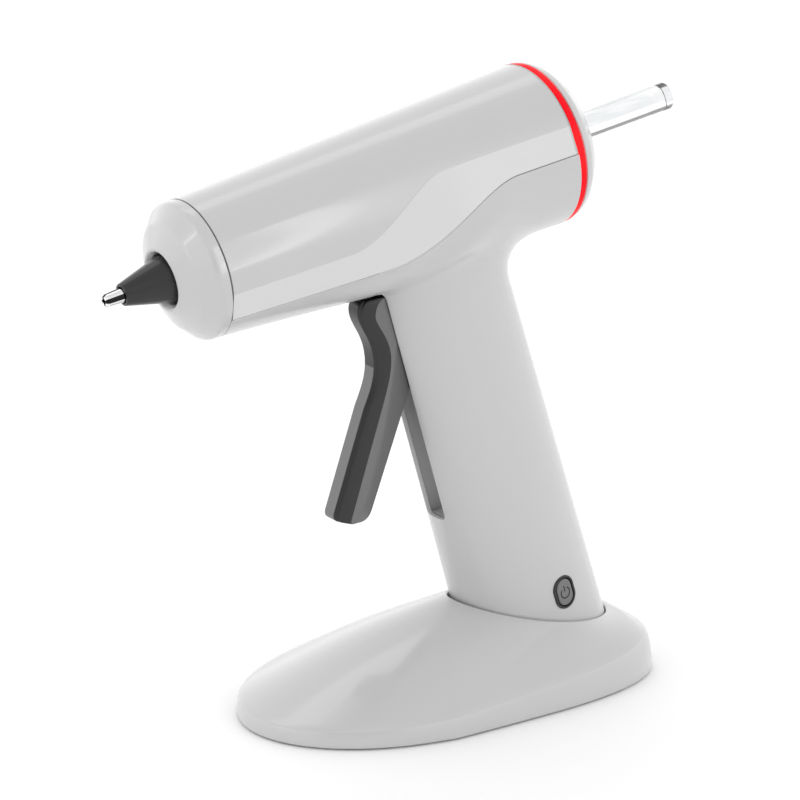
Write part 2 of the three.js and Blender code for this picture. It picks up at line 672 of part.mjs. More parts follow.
// ---- Trigger ------------------------------------------------------------
// Seen from the side, measured from the pin.
function triggerOutline() {
  const shape = new THREE.Shape();
  shape.moveTo(-6.5, 4.4);
  shape.lineTo(-11.7, 4.4);
  shape.quadraticCurveTo(-14.4, 4, -14.1, 0.4);
  shape.bezierCurveTo(-13.7, -3, -11.7, -5.4, -11.6, -10);
  shape.bezierCurveTo(-11.5, -16, -14.1, -19.2, -16.7, -23.2);
  shape.lineTo(-29.7, -46.8);
  shape.quadraticCurveTo(-30.5, -48.6, -28.9, -49.4);
  shape.lineTo(-24.9, -51.1);
  shape.quadraticCurveTo(-21.1, -52.2, -19.3, -48.8);
  shape.lineTo(-6.5, -27.2);
  shape.bezierCurveTo(-3.1, -21.4, 3.1, -11, 4.1, -4.6);
  shape.lineTo(4.5, 0);
  shape.quadraticCurveTo(4.1, 3.6, 0.5, 4.4);
  return shape;
}

function trigger() {
  const place = new THREE.Matrix4().makeTranslation(PIVOT.x, 0, PIVOT.z);
  const grip = moved(slab(triggerOutline(), TRIGGER_WIDTH, TRIGGER_BEVEL), place);
  const armHalf = 1.7;
  const lean = new THREE.Matrix4().makeRotationY(ARM_REST).setPosition(PIVOT.x, 0, PIVOT.z);
  const arm = moved(block(-armHalf, armHalf, -2.6, 2.6, 0, ARM_LENGTH), lean);
  const head = pinY(ARM_TIP.x, ARM_TIP.z, 2.6, ARM_HEAD_RADIUS);
  const bore = pinY(PIVOT.x, PIVOT.z, 10, PIN_RADIUS + CLEARANCE);
  const room = SPRING_RADIUS + SPRING_WIRE_RADIUS + CLEARANCE;
  const floor = SPRING_FRONT_X - SPRING_WIRE_RADIUS - CLEARANCE;
  const pocket = block(floor, SPRING_SEAT_X, -room, room, SPRING_Z - room - 1.5, SPRING_Z + room);
  return cut(join(grip, arm, head), bore, pocket);
}

const triggerPin = () => pinY(PIVOT.x, PIVOT.z, SLOT_HALF + SLOT_WALL + 0.6, PIN_RADIUS);

// A compression spring between a pocket in the trigger's back and its seat.
function triggerSpring() {
  const length = SPRING_SEAT_X - SPRING_FRONT_X - CLEARANCE - SPRING_WIRE_RADIUS;
  const path = new THREE.Curve();
  path.getPoint = (t) => {
    const angle = 2 * Math.PI * SPRING_TURNS * t;
    const y = SPRING_RADIUS * Math.cos(angle);
    const z = SPRING_Z + SPRING_RADIUS * Math.sin(angle);
    return new THREE.Vector3(SPRING_FRONT_X + length * t, y, z);
  };
  return wireAlong(path, SPRING_WIRE_RADIUS);
}

function wireAlong(path, radius) {
  const section = new THREE.Shape().absarc(0, 0, radius, 0, 2 * Math.PI);
  return new THREE.ExtrudeGeometry(section, { steps: 28, curveSegments: 3, extrudePath: path });
}

// ---- Handle contents, in the handle's frame -------------------------------
function batteryCell() {
  const cell = postZ(CELL_X, 0, CELL_FOOT_Z, CELL_TOP_Z - 1, CELL_RADIUS, 32);
  return join(cell, postZ(CELL_X, 0, CELL_TOP_Z - 1.5, CELL_TOP_Z, 3.2));
}

const cellContact = (z0) => block(CELL_X - 5, CELL_X + 5, -4, 4, z0, z0 + CONTACT_THICKNESS);

// A trough behind the cell, closed by a shelf at each end.
function cellCradle() {
  const space = handleOval(CELL_FOOT_Z - 3, CELL_TOP_Z + 3, WALL + CLEARANCE);
  const trough = cut(
    postZ(CELL_X, 0, CELL_FOOT_Z - 2.4, CELL_TOP_Z + 2.4, CELL_RADIUS + 1.9, 32),
    postZ(CELL_X, 0, CELL_FOOT_Z - 1.2, CELL_TOP_Z + 1.2, CELL_RADIUS + CLEARANCE, 32),
  );
  const open = block(-20, CELL_X - 1, -20, 20, CELL_FOOT_Z - 1.2, CELL_TOP_Z + 1.2);
  const back = cut(trough.intersect(space), open);
  const leadWays = block(-20, CELL_X - 7, -20, 20, CELL_FOOT_Z - 5, CELL_TOP_Z + 5);
  return cut(back, leadWays);
}

// A stadium bore through the handle's near side, square to its surface at the power button.
const buttonTilt = () => {
  const depth = handleDepth(BUTTON_Z);
  const y = depth * HANDLE_ASPECT * Math.sqrt(1 - (BUTTON_X / depth) ** 2);
  return { y, angle: Math.atan2(BUTTON_X / depth ** 2, y / (depth * HANDLE_ASPECT) ** 2) };
};

const BOARD_Y = BOARD_BEHIND_FACE - buttonTilt().y;
const PORT_Y = BOARD_Y + BOARD_THICKNESS + PORT.halfHeight + CLEARANCE;

function buttonFrame() {
  const { y, angle } = buttonTilt();
  return new THREE.Matrix4().makeRotationZ(angle).setPosition(BUTTON_X, -y, BUTTON_Z);
}

// A stadium prism whose Y runs along the button's travel; 0 is the handle's surface.
function stadium(width, height, y0, y1) {
  const shape = new THREE.Shape();
  const r = width / 2;
  const h = height / 2 - r;
  shape.absarc(0, h, r, 0, Math.PI);
  shape.absarc(0, -h, r, Math.PI, 2 * Math.PI);
  const options = { depth: y1 - y0, bevelEnabled: false, curveSegments: 10 };
  const prism = new THREE.ExtrudeGeometry(shape, options);
  return solid(prism.rotateX(Math.PI / 2).translate(0, y1, 0));
}

function buttonBezel() {
  const outer = stadium(BUTTON_WIDTH + 2 * BEZEL_RIM, BUTTON_HEIGHT + 2 * BEZEL_RIM, -0.25, WALL);
  const inner = stadium(BUTTON_WIDTH + 0.5, BUTTON_HEIGHT + 0.5, -5, WALL + 2);
  return moved(cut(outer, inner), buttonFrame());
}

function powerButton() {
  const face = stadium(BUTTON_WIDTH, BUTTON_HEIGHT, -0.35, WALL + 0.8);
  const stem = stadium(2, 2.2, WALL + 0.7, SWITCH_FACE - 0.8);
  return moved(join(face, stem), buttonFrame());
}

function buttonSwitch() {
  const housing = stadium(SWITCH_WIDTH, SWITCH_WIDTH + 0.01, SWITCH_FACE, SWITCH_FACE + 1.1);
  return moved(housing, buttonFrame());
}

function mainBoard() {
  const depth = handleDepth(BOARD_TOP_Z) - WALL;
  const width = handleDepth(BOARD_TOP_Z) * HANDLE_ASPECT - WALL;
  const reach = depth * Math.sqrt(1 - (BOARD_Y / width) ** 2); // to the handle's inside
  const front = 5.4 - reach;
  const foot = levelLine(CAP_TOP_Z + CLEARANCE, front);
  return block(front, reach - 2.3, BOARD_Y, BOARD_Y + BOARD_THICKNESS, foot, BOARD_TOP_Z);
}

// A reversible charging socket, hollow from its mouth.
function chargeSocket() {
  const { halfWidth, halfHeight, wall, depth } = PORT;
  const foot = footLine(PORT_X - halfWidth) + CLEARANCE;
  const top = foot + depth;
  const bar = (w, h, z0, z1) => block(PORT_X - w, PORT_X + w, PORT_Y - h, PORT_Y + h, z0, z1);
  const body = bar(halfWidth, halfHeight, foot, top);
  const mouth = bar(halfWidth - wall, halfHeight - wall, foot - 1, top - 1);
  const tongue = bar(3.3, 0.35, foot + 0.6, top - 0.5);
  return join(cut(body, mouth), tongue);
}

function footScrew(x) {
  const foot = footLine(x) + 0.3;
  const head = postZ(x, 0, foot, foot + SCREW_HEAD_HEIGHT, SCREW_HEAD_RADIUS);
  return join(head, postZ(x, 0, foot + 0.8, foot + 0.8 + SCREW_LENGTH, SCREW_SHANK_RADIUS, 12));
}

// Heater leads: along the barrel's floor, then down the handle in front of the cell.
function heaterLead(side) {
  const onFloor = (x, y, lift) => [x, y, -Math.sqrt((barrelRadius(x) - WALL - lift) ** 2 - y ** 2)];
  const ends = [[-6.36, 8.2, 12.04], [-6.21, 7.2, 2.44]].map(([x, y, rise]) => {
    const place = handlePoint(x, BOARD_TOP_Z + rise);
    return [place.x, side * y, place.y];
  });
  const route = [
    [HEATER.rear - 0.5, side * 3, LEAD_Z],
    onFloor(HEATER.rear + 3.5, side * 4.6, 1.5),
    onFloor(CHAMBER.rear + 4.3, side * 7, 1.4),
    onFloor(CARRIAGE.front - 4.5, side * 7.6, 1.85),
    onFloor(PIVOT.x + 0.5, side * 7.4, 1.1),
    [PIVOT.x + 4.5, side * 7.4, PIVOT.z + 7],
    [PIVOT.x + 6.5, side * 7.6, PIVOT.z - 5],
    [PIVOT.x + 8.5, side * 7.8, PIVOT.z - 23],
    [PIVOT.x + 10.7, side * 8.4, PIVOT.z - 45],
    ...ends,
  ].map(([x, y, z]) => new THREE.Vector3(x, y, z));
  return wireAlong(new THREE.CatmullRomCurve3(route, false, "centripetal"), LEAD_RADIUS);
}

// ---- Holder -------------------------------------------------------------
const power = (value, exponent) => Math.sign(value) * Math.abs(value) ** exponent;

const handleAxisX = (z) =>
  HANDLE_X * Math.cos(BARREL_TILT) +
  (BARREL_HEIGHT + HANDLE_X * Math.sin(BARREL_TILT) - z) * Math.tan(HANDLE_WORLD_LEAN);

const SOCKET_DEPTH = handleFootDepth + SOCKET_FIT;
const SOCKET_WIDTH = handleFootDepth * HANDLE_ASPECT + SOCKET_FIT;

// A point of the socket's rim, which slopes down to the rear.
function rimPoint(angle) {
  const c = Math.cos(angle);
  const z = RIM_Z - RIM_SLOPE * c + RIM_BOW * Math.cos(2 * angle);
  const depth = SOCKET_DEPTH / Math.cos(HANDLE_WORLD_LEAN);
  return [handleAxisX(z) + depth * c, SOCKET_WIDTH * Math.sin(angle), z];
}

const STAND_REAR_REACH = rimPoint(0)[0] + STAND_REAR_MARGIN - STAND_WAIST_X;
const standFrontX = STAND_WAIST_X - STAND_FRONT_REACH;
const standRearX = STAND_WAIST_X + STAND_REAR_REACH;
const STAND_SCREWS = [
  [standFrontX + 22, 0],
  [STAND_WAIST_X + 1, 8.3 - STAND_HALF_WIDTH],
  [STAND_WAIST_X + 1, STAND_HALF_WIDTH - 8.3],
  [standRearX - 10, 19.8 - STAND_HALF_WIDTH],
  [standRearX - 10, STAND_HALF_WIDTH - 19.8],
];
const STAND_PADS = [
  [standFrontX + 20, 20.8 - STAND_HALF_WIDTH],
  [standFrontX + 20, STAND_HALF_WIDTH - 20.8],
  [standRearX - 20, 13.3 - STAND_HALF_WIDTH],
  [standRearX - 20, STAND_HALF_WIDTH - 13.3],
];

// The holder's outline at an angle, drawn in by the inset.
function standOutline(angle, inset) {
  const c = Math.cos(angle);
  const s = Math.sin(angle);
  const half = STAND_HALF_WIDTH - inset;
  if (c < 0) return [STAND_WAIST_X + (STAND_FRONT_REACH - inset) * c, half * s];
  const n = 2 / STAND_REAR_SQUARENESS;
  return [STAND_WAIST_X + (STAND_REAR_REACH - inset) * power(c, n), half * power(s, n)];
}

function standEdgeZ(x) {
  const along = (x - STAND_WAIST_X + STAND_FRONT_REACH) / (STAND_FRONT_REACH + STAND_REAR_REACH);
  return STAND_FRONT_EDGE_Z + STAND_EDGE_RISE * Math.max(along, 0) ** 1.6;
}

// The holder's outer form, or its hollow when drawn in: rings from the skirt over the edge to the rim.
function standForm(inset, foot) {
  const rows = [0, 0.5, 0.8, 1, 1.15, 1.4, 1.7, 2];
  const form = new THREE.CylinderGeometry(1, 1, rows.length - 1, ROUND, rows.length - 1);
  const place = form.getAttribute("position");
  for (let i = 0; i < place.count; i++) {
    const row = rows[Math.round(place.getY(i) + (rows.length - 1) / 2)];
    const radius = Math.hypot(place.getX(i), place.getZ(i));
    const angle = Math.atan2(place.getX(i), place.getZ(i));
    place.setXYZ(i, ...standPoint(row, angle, radius, inset, foot));
  }
  return solid(form);
}

// Row 0 is the foot of the skirt, 1 the edge and 2 the rim. Radius 0 is the middle of an end face.
function standPoint(row, angle, radius, inset, foot) {
  const [, , rimMiddle] = rimPoint(Math.PI / 2);
  if (radius < 0.5) return [handleAxisX(rimMiddle), 0, row === 0 ? foot : rimMiddle - inset];
  const wall = Math.min(row, 1);
  const lean = STAND_WALL_LEAN + STAND_REAR_LEAN * Math.max(Math.cos(angle), 0) ** 2;
  const [x, y] = standOutline(angle, inset + lean * wall ** 2);
  const edge = standEdgeZ(x) - inset;
  if (row <= 1) return [x, y, THREE.MathUtils.lerp(foot, edge, Math.sin((wall * Math.PI) / 2))];
  const t = row - 1;
  const [rx, ry, rz] = rimPoint(angle);
  const rise = t + STAND_CROWN * Math.sin(Math.PI * t);
  return [
    THREE.MathUtils.lerp(x, rx, t),
    THREE.MathUtils.lerp(y, ry, t),
    THREE.MathUtils.lerp(edge, rz - inset, rise),
  ];
}

// An oval prism along the handle's axis, cut off below a level.
function socketOval(grow, floor) {
  const depth = SOCKET_DEPTH + grow;
  const tube = new THREE.CylinderGeometry(depth, depth, 80, ROUND);
  const width = SOCKET_WIDTH + grow;
  const oval = solid(tube.rotateX(Math.PI / 2).scale(1, width / depth, 1).translate(0, 0, -130));
  return moved(oval, handleInWorld).intersect(block(-100, 120, -60, 60, floor, 80));
}

function standShell() {
  const form = standForm(0, STAND_SKIRT_Z);
  const skin = cut(form, standForm(WALL, STAND_SKIRT_Z - 5));
  const well = socketOval(WALL, SOCKET_FLOOR_Z - WALL);
  const bosses = STAND_SCREWS.map(([x, y]) => postZ(x, y, PLATE_TOP + CLEARANCE, 30, SCREW_BOSS_RADIUS));
  const pilots = STAND_SCREWS.map(([x, y]) =>
    postZ(x, y, -1, PLATE_Z + SINK_DEPTH + SCREW_LENGTH, SCREW_SHANK_RADIUS + CLEARANCE, 12),
  );
  const filled = join(skin, join(well, ...bosses).intersect(form));
  return cut(filled, socketOval(0, SOCKET_FLOOR_Z), ...pilots);
}

function standPlate() {
  const shape = new THREE.Shape();
  for (let i = 0; i < ROUND; i++) {
    const angle = (2 * Math.PI * (i + 0.5)) / ROUND;
    const [x, y] = standOutline(angle, WALL + STAND_WALL_LEAN + 0.4);
    if (i === 0) shape.moveTo(x, y);
    else shape.lineTo(x, y);
  }
  const raw = new THREE.ExtrudeGeometry(shape, { depth: BASE_PLATE_THICKNESS, bevelEnabled: false });
  const plate = solid(raw.translate(0, 0, PLATE_Z));
  const holes = STAND_SCREWS.flatMap(([x, y]) => [
    postZ(x, y, -1, 8, SCREW_SHANK_RADIUS + CLEARANCE, 12),
    postZ(x, y, -1, PLATE_Z + SINK_DEPTH, SCREW_HEAD_RADIUS + CLEARANCE),
  ]);
  return cut(plate, ...holes);
}

function standScrew([x, y]) {
  const headFoot = PLATE_Z + SINK_DEPTH - 0.1 - SCREW_HEAD_HEIGHT;
  const head = postZ(x, y, headFoot, headFoot + SCREW_HEAD_HEIGHT, SCREW_HEAD_RADIUS);
  return join(head, postZ(x, y, headFoot + 1, headFoot + SCREW_LENGTH, SCREW_SHANK_RADIUS, 12));
}

function ballastPlate() {
  const { front, rear, half, thickness } = BALLAST;
  const foot = PLATE_TOP + CLEARANCE;
  return block(front, rear, -half, half, foot, foot + thickness);
}

const standPad = ([x, y]) => postZ(x, y, 0, PLATE_Z - CLEARANCE / 3, FOOT_PAD_RADIUS);

// ---- Assembly -----------------------------------------------------------
const stand = new THREE.Group();
stand.add(
  node("stand_shell", WHITE, standShell()),
  node("stand_base_plate", INNER_PLASTIC, standPlate()),
  node("stand_ballast", STEEL, ballastPlate()),
);
STAND_PADS.forEach((place, i) => {
  stand.add(node("stand_foot_pad_" + (i + 1), RUBBER, standPad(place)));
});
STAND_SCREWS.forEach((place, i) => {
  stand.add(node("stand_screw_" + (i + 1), STEEL, standScrew(place)));
});

const handle = new THREE.Group();
handle.add(
  node("battery_cell", CELL_WRAP, batteryCell()),
  node("battery_contact_top", STEEL, cellContact(CELL_TOP_Z + CLEARANCE)),
  node("battery_contact_foot", STEEL, cellContact(CELL_FOOT_Z - CLEARANCE - CONTACT_THICKNESS)),
  node("battery_cradle", INNER_PLASTIC, cellCradle()),
  node("button_bezel", DARK, buttonBezel()),
  node("power_button", DARK, powerButton()),
  node("button_switch", INNER_PLASTIC, buttonSwitch()),
  node("main_board", GREEN_BOARD, mainBoard()),
  node("charge_socket", STEEL, chargeSocket()),
);
FOOT_SCREW_X.forEach((x, i) => handle.add(node("foot_screw_" + (i + 1), STEEL, footScrew(x))));
handleFrame.decompose(handle.position, handle.quaternion, handle.scale);

const gun = new THREE.Group();
gun.add(
  node("body_shell", WHITE, bodyShell()),
  node("top_cover", WHITE, topCover()),
  node("nose_cap", WHITE, noseCap()),
  node("light_ring", RED, lightRing()),
  node("rear_cap", WHITE, rearCap()),
  node("foot_cap", WHITE, footCap()),
  node("nozzle_cone", DARK, nozzleCone()),
  node("nozzle_tip", CHROME, nozzleTip()),
  node("melt_chamber", ALUMINIUM, meltChamber()),
  node("heater_plate", CERAMIC, heaterPlate()),
  node("heater_clip", STEEL, heaterClip()),
  node("chamber_bracket_front", INNER_PLASTIC, chamberBracket(BRACKET_X[0])),
  node("chamber_bracket_rear", INNER_PLASTIC, chamberBracket(BRACKET_X[1])),
  node("inlet_sleeve", SILICONE, inletSleeve()),
  node("feed_carriage", INNER_PLASTIC, feedCarriage()),
  node("grip_jaw", STEEL, gripJaw()),
  node("stick_guide", INNER_PLASTIC, stickGuide()),
  node("glue_stick", CLEAR, glueStick()),
  node("led_board", GREEN_BOARD, ledBoard()),
  node("trigger", DARK, trigger()),
  node("trigger_pin", STEEL, triggerPin()),
  node("trigger_spring", STEEL, triggerSpring()),
  node("heater_lead_left", RED, heaterLead(-1)),
  node("heater_lead_right", DARK, heaterLead(1)),
  handle,
);
gunFrame.decompose(gun.position, gun.quaternion, gun.scale);

// The origin is the middle of the assembly's box, on the table.
const content = new THREE.Group();
content.add(stand, gun);
const glueGun = new THREE.Group();
glueGun.add(content);
glueGun.updateMatrixWorld(true);
const box = new THREE.Box3().setFromObject(glueGun, true);
content.position.set(-(box.min.x + box.max.x) / 2, -(box.min.y + box.max.y) / 2, -box.min.z);

export default glueGun;
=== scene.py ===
"""Looks of a cordless glue gun standing in its weighted holder.

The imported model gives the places: the barrel's line, the handle's line and the trigger's pivot come
from its joints. The sizes below are those of the visible mouldings, in millimetres in each
sub-assembly's own frame, and every finished piece is in metres in the model's frame.
"""

import json
import logging
import math
from dataclasses import dataclass, field
from enum import Enum
from typing import Callable, Sequence

import bpy
import numpy as np
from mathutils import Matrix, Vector


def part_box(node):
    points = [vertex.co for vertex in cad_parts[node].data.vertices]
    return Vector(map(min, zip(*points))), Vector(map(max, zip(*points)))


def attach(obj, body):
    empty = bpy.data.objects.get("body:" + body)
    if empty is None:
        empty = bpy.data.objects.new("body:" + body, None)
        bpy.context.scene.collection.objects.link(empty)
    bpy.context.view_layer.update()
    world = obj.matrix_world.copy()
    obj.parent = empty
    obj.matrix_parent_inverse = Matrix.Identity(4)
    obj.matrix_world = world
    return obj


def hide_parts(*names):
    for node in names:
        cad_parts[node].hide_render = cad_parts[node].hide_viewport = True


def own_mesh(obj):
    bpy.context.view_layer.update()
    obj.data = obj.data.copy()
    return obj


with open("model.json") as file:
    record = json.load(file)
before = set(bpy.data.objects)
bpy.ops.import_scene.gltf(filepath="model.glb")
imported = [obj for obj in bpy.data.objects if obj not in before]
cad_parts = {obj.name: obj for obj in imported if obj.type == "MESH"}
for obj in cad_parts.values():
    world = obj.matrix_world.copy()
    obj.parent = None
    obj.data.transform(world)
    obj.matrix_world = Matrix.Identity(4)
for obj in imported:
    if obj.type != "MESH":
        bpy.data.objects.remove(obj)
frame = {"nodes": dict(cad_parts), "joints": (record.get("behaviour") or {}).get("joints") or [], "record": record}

log = logging.getLogger("glue_gun")

MM = 0.001  # metres in a millimetre
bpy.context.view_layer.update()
STEP = 0.9  # lattice of the handle's moulding
Array = np.ndarray
Level = Callable[[Array], Array]


# ---- Frames and small maths ---------------------------------------------------------------
def smooth(start: float, end: float, value: Array) -> Array:
    """Eases from 0 to 1 between two values."""
    share = np.clip((np.asarray(value, float) - start) / (end - start), 0, 1)
    return share * share * (3 - 2 * share)


def unit(vectors: Array) -> Array:
    """Scales vectors to length 1."""
    length = np.linalg.norm(vectors, axis=-1, keepdims=True)
    return vectors / np.maximum(length, 1e-12)


@dataclass(frozen=True)
class Placement:
    """A sub-assembly's frame, leaned about Y.

    Attributes:
        origin: where its origin is in the model's frame, in millimetres.
        lean: angle that its X axis is raised by, in radians.
    """

    origin: tuple[float, float, float]
    lean: float

    def turn(self, vectors: Array) -> Array:
        """Turns directions from this frame into the model's."""
        c, s = math.cos(self.lean), math.sin(self.lean)
        x, y, z = np.moveaxis(np.asarray(vectors, float), -1, 0)
        return np.stack([x * c - z * s, y, x * s + z * c], -1)

    def out(self, points: Array) -> Array:
        """Moves points from this frame into the model's."""
        return self.turn(points) + np.array(self.origin)

    def into(self, points: Array) -> Array:
        """Moves points from the model's frame into this one."""
        c, s = math.cos(self.lean), math.sin(self.lean)
        x, y, z = np.moveaxis(np.asarray(points, float) - np.array(self.origin), -1, 0)
        return np.stack([x * c + z * s, y, z * c - x * s], -1)


def joint(name: str) -> dict:
    """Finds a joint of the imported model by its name."""
    return next(j for j in frame["joints"] if j["name"] == name)


PIVOT = (-1.5, 0.0, -27.0)  # trigger pin, in the gun's frame
HANDLE_X = 6.3  # where the handle's axis crosses the barrel's


def gun_placement() -> Placement:
    """Works out the gun's frame from the stick's slide and the trigger's pin."""
    along = joint("stick_slide")["axis"]
    lean = math.atan2(along[2], along[0])
    turned = Placement((0.0, 0.0, 0.0), lean).turn(PIVOT)
    pin = np.array(joint("trigger_pull")["pos_m"]) / MM
    return Placement(tuple(pin - turned), lean)


def handle_placement(gun: Placement) -> Placement:
    """Works out the handle's frame from the gun's lift out of the holder.

    Args:
        gun: the gun's frame.

    Returns:
        The frame whose Z runs up the handle.
    """
    up = joint("gun_lift")["axis"]
    return Placement(tuple(gun.out((HANDLE_X, 0.0, 0.0))), math.atan2(-up[0], up[2]))


GUN = gun_placement()
HANDLE = handle_placement(GUN)
ROW = Placement((0.0, 0.0, 0.0), 0.0)
STAND_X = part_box("stand_shell")[0].x / MM + 42.0  # holder's design origin: 42 behind its nose


# ---- Meshes that carry their own normals ---------------------------------------------------
@dataclass
class Patch:
    """A piece of surface in millimetres.

    Attributes:
        points: one row for each vertex.
        normals: the true surface normal at each vertex.
        faces: vertex numbers of each face.
        finish: which of the piece's finishes each face takes.
    """

    points: Array
    normals: Array
    faces: list[tuple[int, ...]]
    finish: list[int] = field(default_factory=list)

    def __post_init__(self) -> None:
        """Gives each face the first finish unless told otherwise."""
        if not self.finish:
            self.finish = [0] * len(self.faces)

    def oriented(self) -> "Patch":
        """Turns round each face that looks against its vertices' normals."""
        faces = []
        for face in self.faces:
            corner = self.points[list(face)]
            ahead = np.roll(corner, -1, 0)
            area = np.cross(corner, ahead).sum(0)
            agree = float(area @ self.normals[list(face)].sum(0))
            faces.append(face if agree >= 0 else tuple(reversed(face)))
        return Patch(self.points, self.normals, faces, self.finish)

    def placed(self, frame_of: Placement) -> "Patch":
        """Moves the patch from its own frame into the model's."""
        return Patch(frame_of.out(self.points), frame_of.turn(self.normals), self.faces, self.finish)


def joined(*patches: Patch) -> Patch:
    """Puts several patches in one."""
    faces: list[tuple[int, ...]] = []
    finish: list[int] = []
    start = 0
    for patch in patches:
        faces += [tuple(i + start for i in face) for face in patch.faces]
        finish += patch.finish
        start += len(patch.points)
    points = np.concatenate([p.points for p in patches])
    return Patch(points, np.concatenate([p.normals for p in patches]), faces, finish)


def lattice_faces(rows: int, columns: int, wrap_rows: bool, wrap_columns: bool) -> list[tuple[int, ...]]:
    """Lists the quads of a grid of vertices.

    Args:
        rows: number of rows.
        columns: number of columns.
        wrap_rows: whether the last row meets the first.
        wrap_columns: whether the last column meets the first.

    Returns:
        Four vertex numbers for each quad.
    """
    faces = []
    for i in range(rows if wrap_rows else rows - 1):
        for j in range(columns if wrap_columns else columns - 1):
            a, b = i * columns, (i + 1) % rows * columns
            k = (j + 1) % columns
            faces.append((a + j, a + k, b + k, b + j))
    return faces


def grid(points: Array, normals: Array, wrap_rows: bool = False, wrap_columns: bool = False) -> Patch:
    """Makes a patch from a grid of points and normals."""
    rows, columns = points.shape[:2]
    faces = lattice_faces(rows, columns, wrap_rows, wrap_columns)
    return Patch(points.reshape(-1, 3), normals.reshape(-1, 3), faces)


def corner_normals(mesh: bpy.types.Mesh, normals: Array) -> Array:
    """Gives each face's corner its vertex's normal, or the face's own across a sharp edge."""
    vertex = np.empty(len(mesh.loops), int)
    mesh.loops.foreach_get("vertex_index", vertex)
    total = np.empty(len(mesh.polygons), int)
    mesh.polygons.foreach_get("loop_total", total)
    flat = np.empty(len(mesh.polygons) * 3)
    mesh.polygons.foreach_get("normal", flat)
    own = np.repeat(flat.reshape(-1, 3), total, axis=0)
    true = normals[vertex]
    along = (own * true).sum(1, keepdims=True)
    return np.where(along > 0.55, true, own)


def make_piece(name: str, patch: Patch, *finishes: bpy.types.Material) -> bpy.types.Object:
    """Turns a patch in the model's frame into an object.

    Args:
        name: the piece's name.
        patch: its surface, in millimetres.
        finishes: materials, in the order that the patch's faces number them.

    Returns:
        The linked object, at the origin.
    """
    patch = patch.oriented()
    mesh = bpy.data.meshes.new(name)
    mesh.from_pydata((patch.points * MM).tolist(), [], patch.faces)
    mesh.polygons.foreach_set("use_smooth", [True] * len(mesh.polygons))
    mesh.polygons.foreach_set("material_index", patch.finish)
    for finish in finishes:
        mesh.materials.append(finish)
    mesh.normals_split_custom_set(corner_normals(mesh, unit(patch.normals)).tolist())
    piece = bpy.data.objects.new(name, mesh)
    bpy.context.scene.collection.objects.link(piece)
    return piece


def settle(piece: bpy.types.Object, body: str, slot: str, *nodes: str) -> bpy.types.Object:
    """Lets a piece ride on a body and stand for its plain nodes, and reports it."""
    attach(piece, body)
    if nodes:
        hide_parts(*nodes)
    log.info("%s rides on %s: %d faces", piece.name, body, len(piece.data.polygons))
    return piece


@dataclass(frozen=True)
class Outline:
    """A closed flat outline with its outward normals."""

    points: Array
    normals: Array


def rounded(corners: Sequence[tuple[float, float, float]], steps: int = 6) -> Outline:
    """Rounds the corners of a closed outline, given with its inside on the left.

    Args:
        corners: x, y and rounding radius of each corner.
        steps: arc steps at each corner.

    Returns:
        The outline, with exact normals on its arcs and straights.
    """
    places = np.array([c[:2] for c in corners])
    points, normals = [], []
    for i, (_, _, radius) in enumerate(corners):
        here = places[i]
        before, after = here - places[i - 1], places[(i + 1) % len(places)] - here
        a, b = unit(before), unit(after)
        turn = math.atan2(a[0] * b[1] - a[1] * b[0], float(a @ b))
        room = 0.49 * min(np.linalg.norm(before), np.linalg.norm(after))
        reach = min(max(radius, 0.02) * math.tan(abs(turn) / 2), room)
        radius = reach / max(math.tan(abs(turn) / 2), 1e-6)
        side = math.copysign(1.0, turn)
        right = np.array([a[1], -a[0]])
        centre = here - a * reach - side * radius * right
        for k in range(steps + 1):
            angle = turn * k / steps
            c, s = math.cos(angle), math.sin(angle)
            normal = np.array([right[0] * c - right[1] * s, right[0] * s + right[1] * c])
            points.append(centre + side * radius * normal)
            normals.append(normal)
    return Outline(np.array(points), np.array(normals))


def traced(pieces: Sequence[tuple[tuple[float, float], ...]], steps: int = 9) -> Outline:
    """Samples a closed outline of straights and Bezier curves, its inside on the left.

    Args:
        pieces: two, three or four control points each.
        steps: points on each piece.

    Returns:
        The outline, its normals from its neighbours.
    """
    points = []
    for piece in pieces:
        for t in np.arange(steps) / steps:
            level = np.array(piece, float)
            while len(level) > 1:
                level = (1 - t) * level[:-1] + t * level[1:]
            points.append(level[0])
    line = np.array(points)
    ahead = unit(np.roll(line, -1, 0) - np.roll(line, 1, 0))
    return Outline(line, np.stack([ahead[:, 1], -ahead[:, 0]], -1))


def revolve(outline: Outline, segments: int = 128) -> Patch:
    """Turns an (x, radius) outline about the X axis. A radius under 0.01 becomes a pole.

    Args:
        outline: a closed outline, or one that starts and ends on the axis.
        segments: steps round the axis.

    Returns:
        A closed patch.
    """
    angle = 2 * np.pi * np.arange(segments) / segments
    on_axis = outline.points[:, 1] < 0.01
    keep = ~on_axis
    x, r = outline.points[keep].T
    nx, nr = outline.normals[keep].T

    def ring(a: Array, b: Array) -> Array:
        """Turns places along the axis, and lengths across it, round the axis."""
        along = np.repeat(a[:, None], segments, 1)
        return np.stack([along, np.outer(b, np.cos(angle)), np.outer(b, np.sin(angle))], -1)

    patch = grid(ring(x, r), ring(nx, nr), wrap_rows=not on_axis.any(), wrap_columns=True)
    if not on_axis.any():
        return patch
    ends = (outline.points[on_axis][0][0], outline.points[on_axis][-1][0])
    first, last = (x[0], 0), (x[-1], (len(x) - 1) * segments)
    poles = sorted(ends, key=lambda e: abs(e - first[0]))
    points = np.concatenate([patch.points, [[poles[0], 0, 0], [poles[-1], 0, 0]]])
    facing = [nx[0], nx[-1]]
    normals = np.concatenate([patch.normals, [[math.copysign(1, facing[0]), 0, 0]]])
    normals = np.concatenate([normals, [[math.copysign(1, facing[1]), 0, 0]]])
    faces = list(patch.faces)
    for j in range(segments):
        k = (j + 1) % segments
        faces.append((len(points) - 2, first[1] + j, first[1] + k))
        faces.append((len(points) - 1, last[1] + k, last[1] + j))
    return Patch(points, normals, faces)


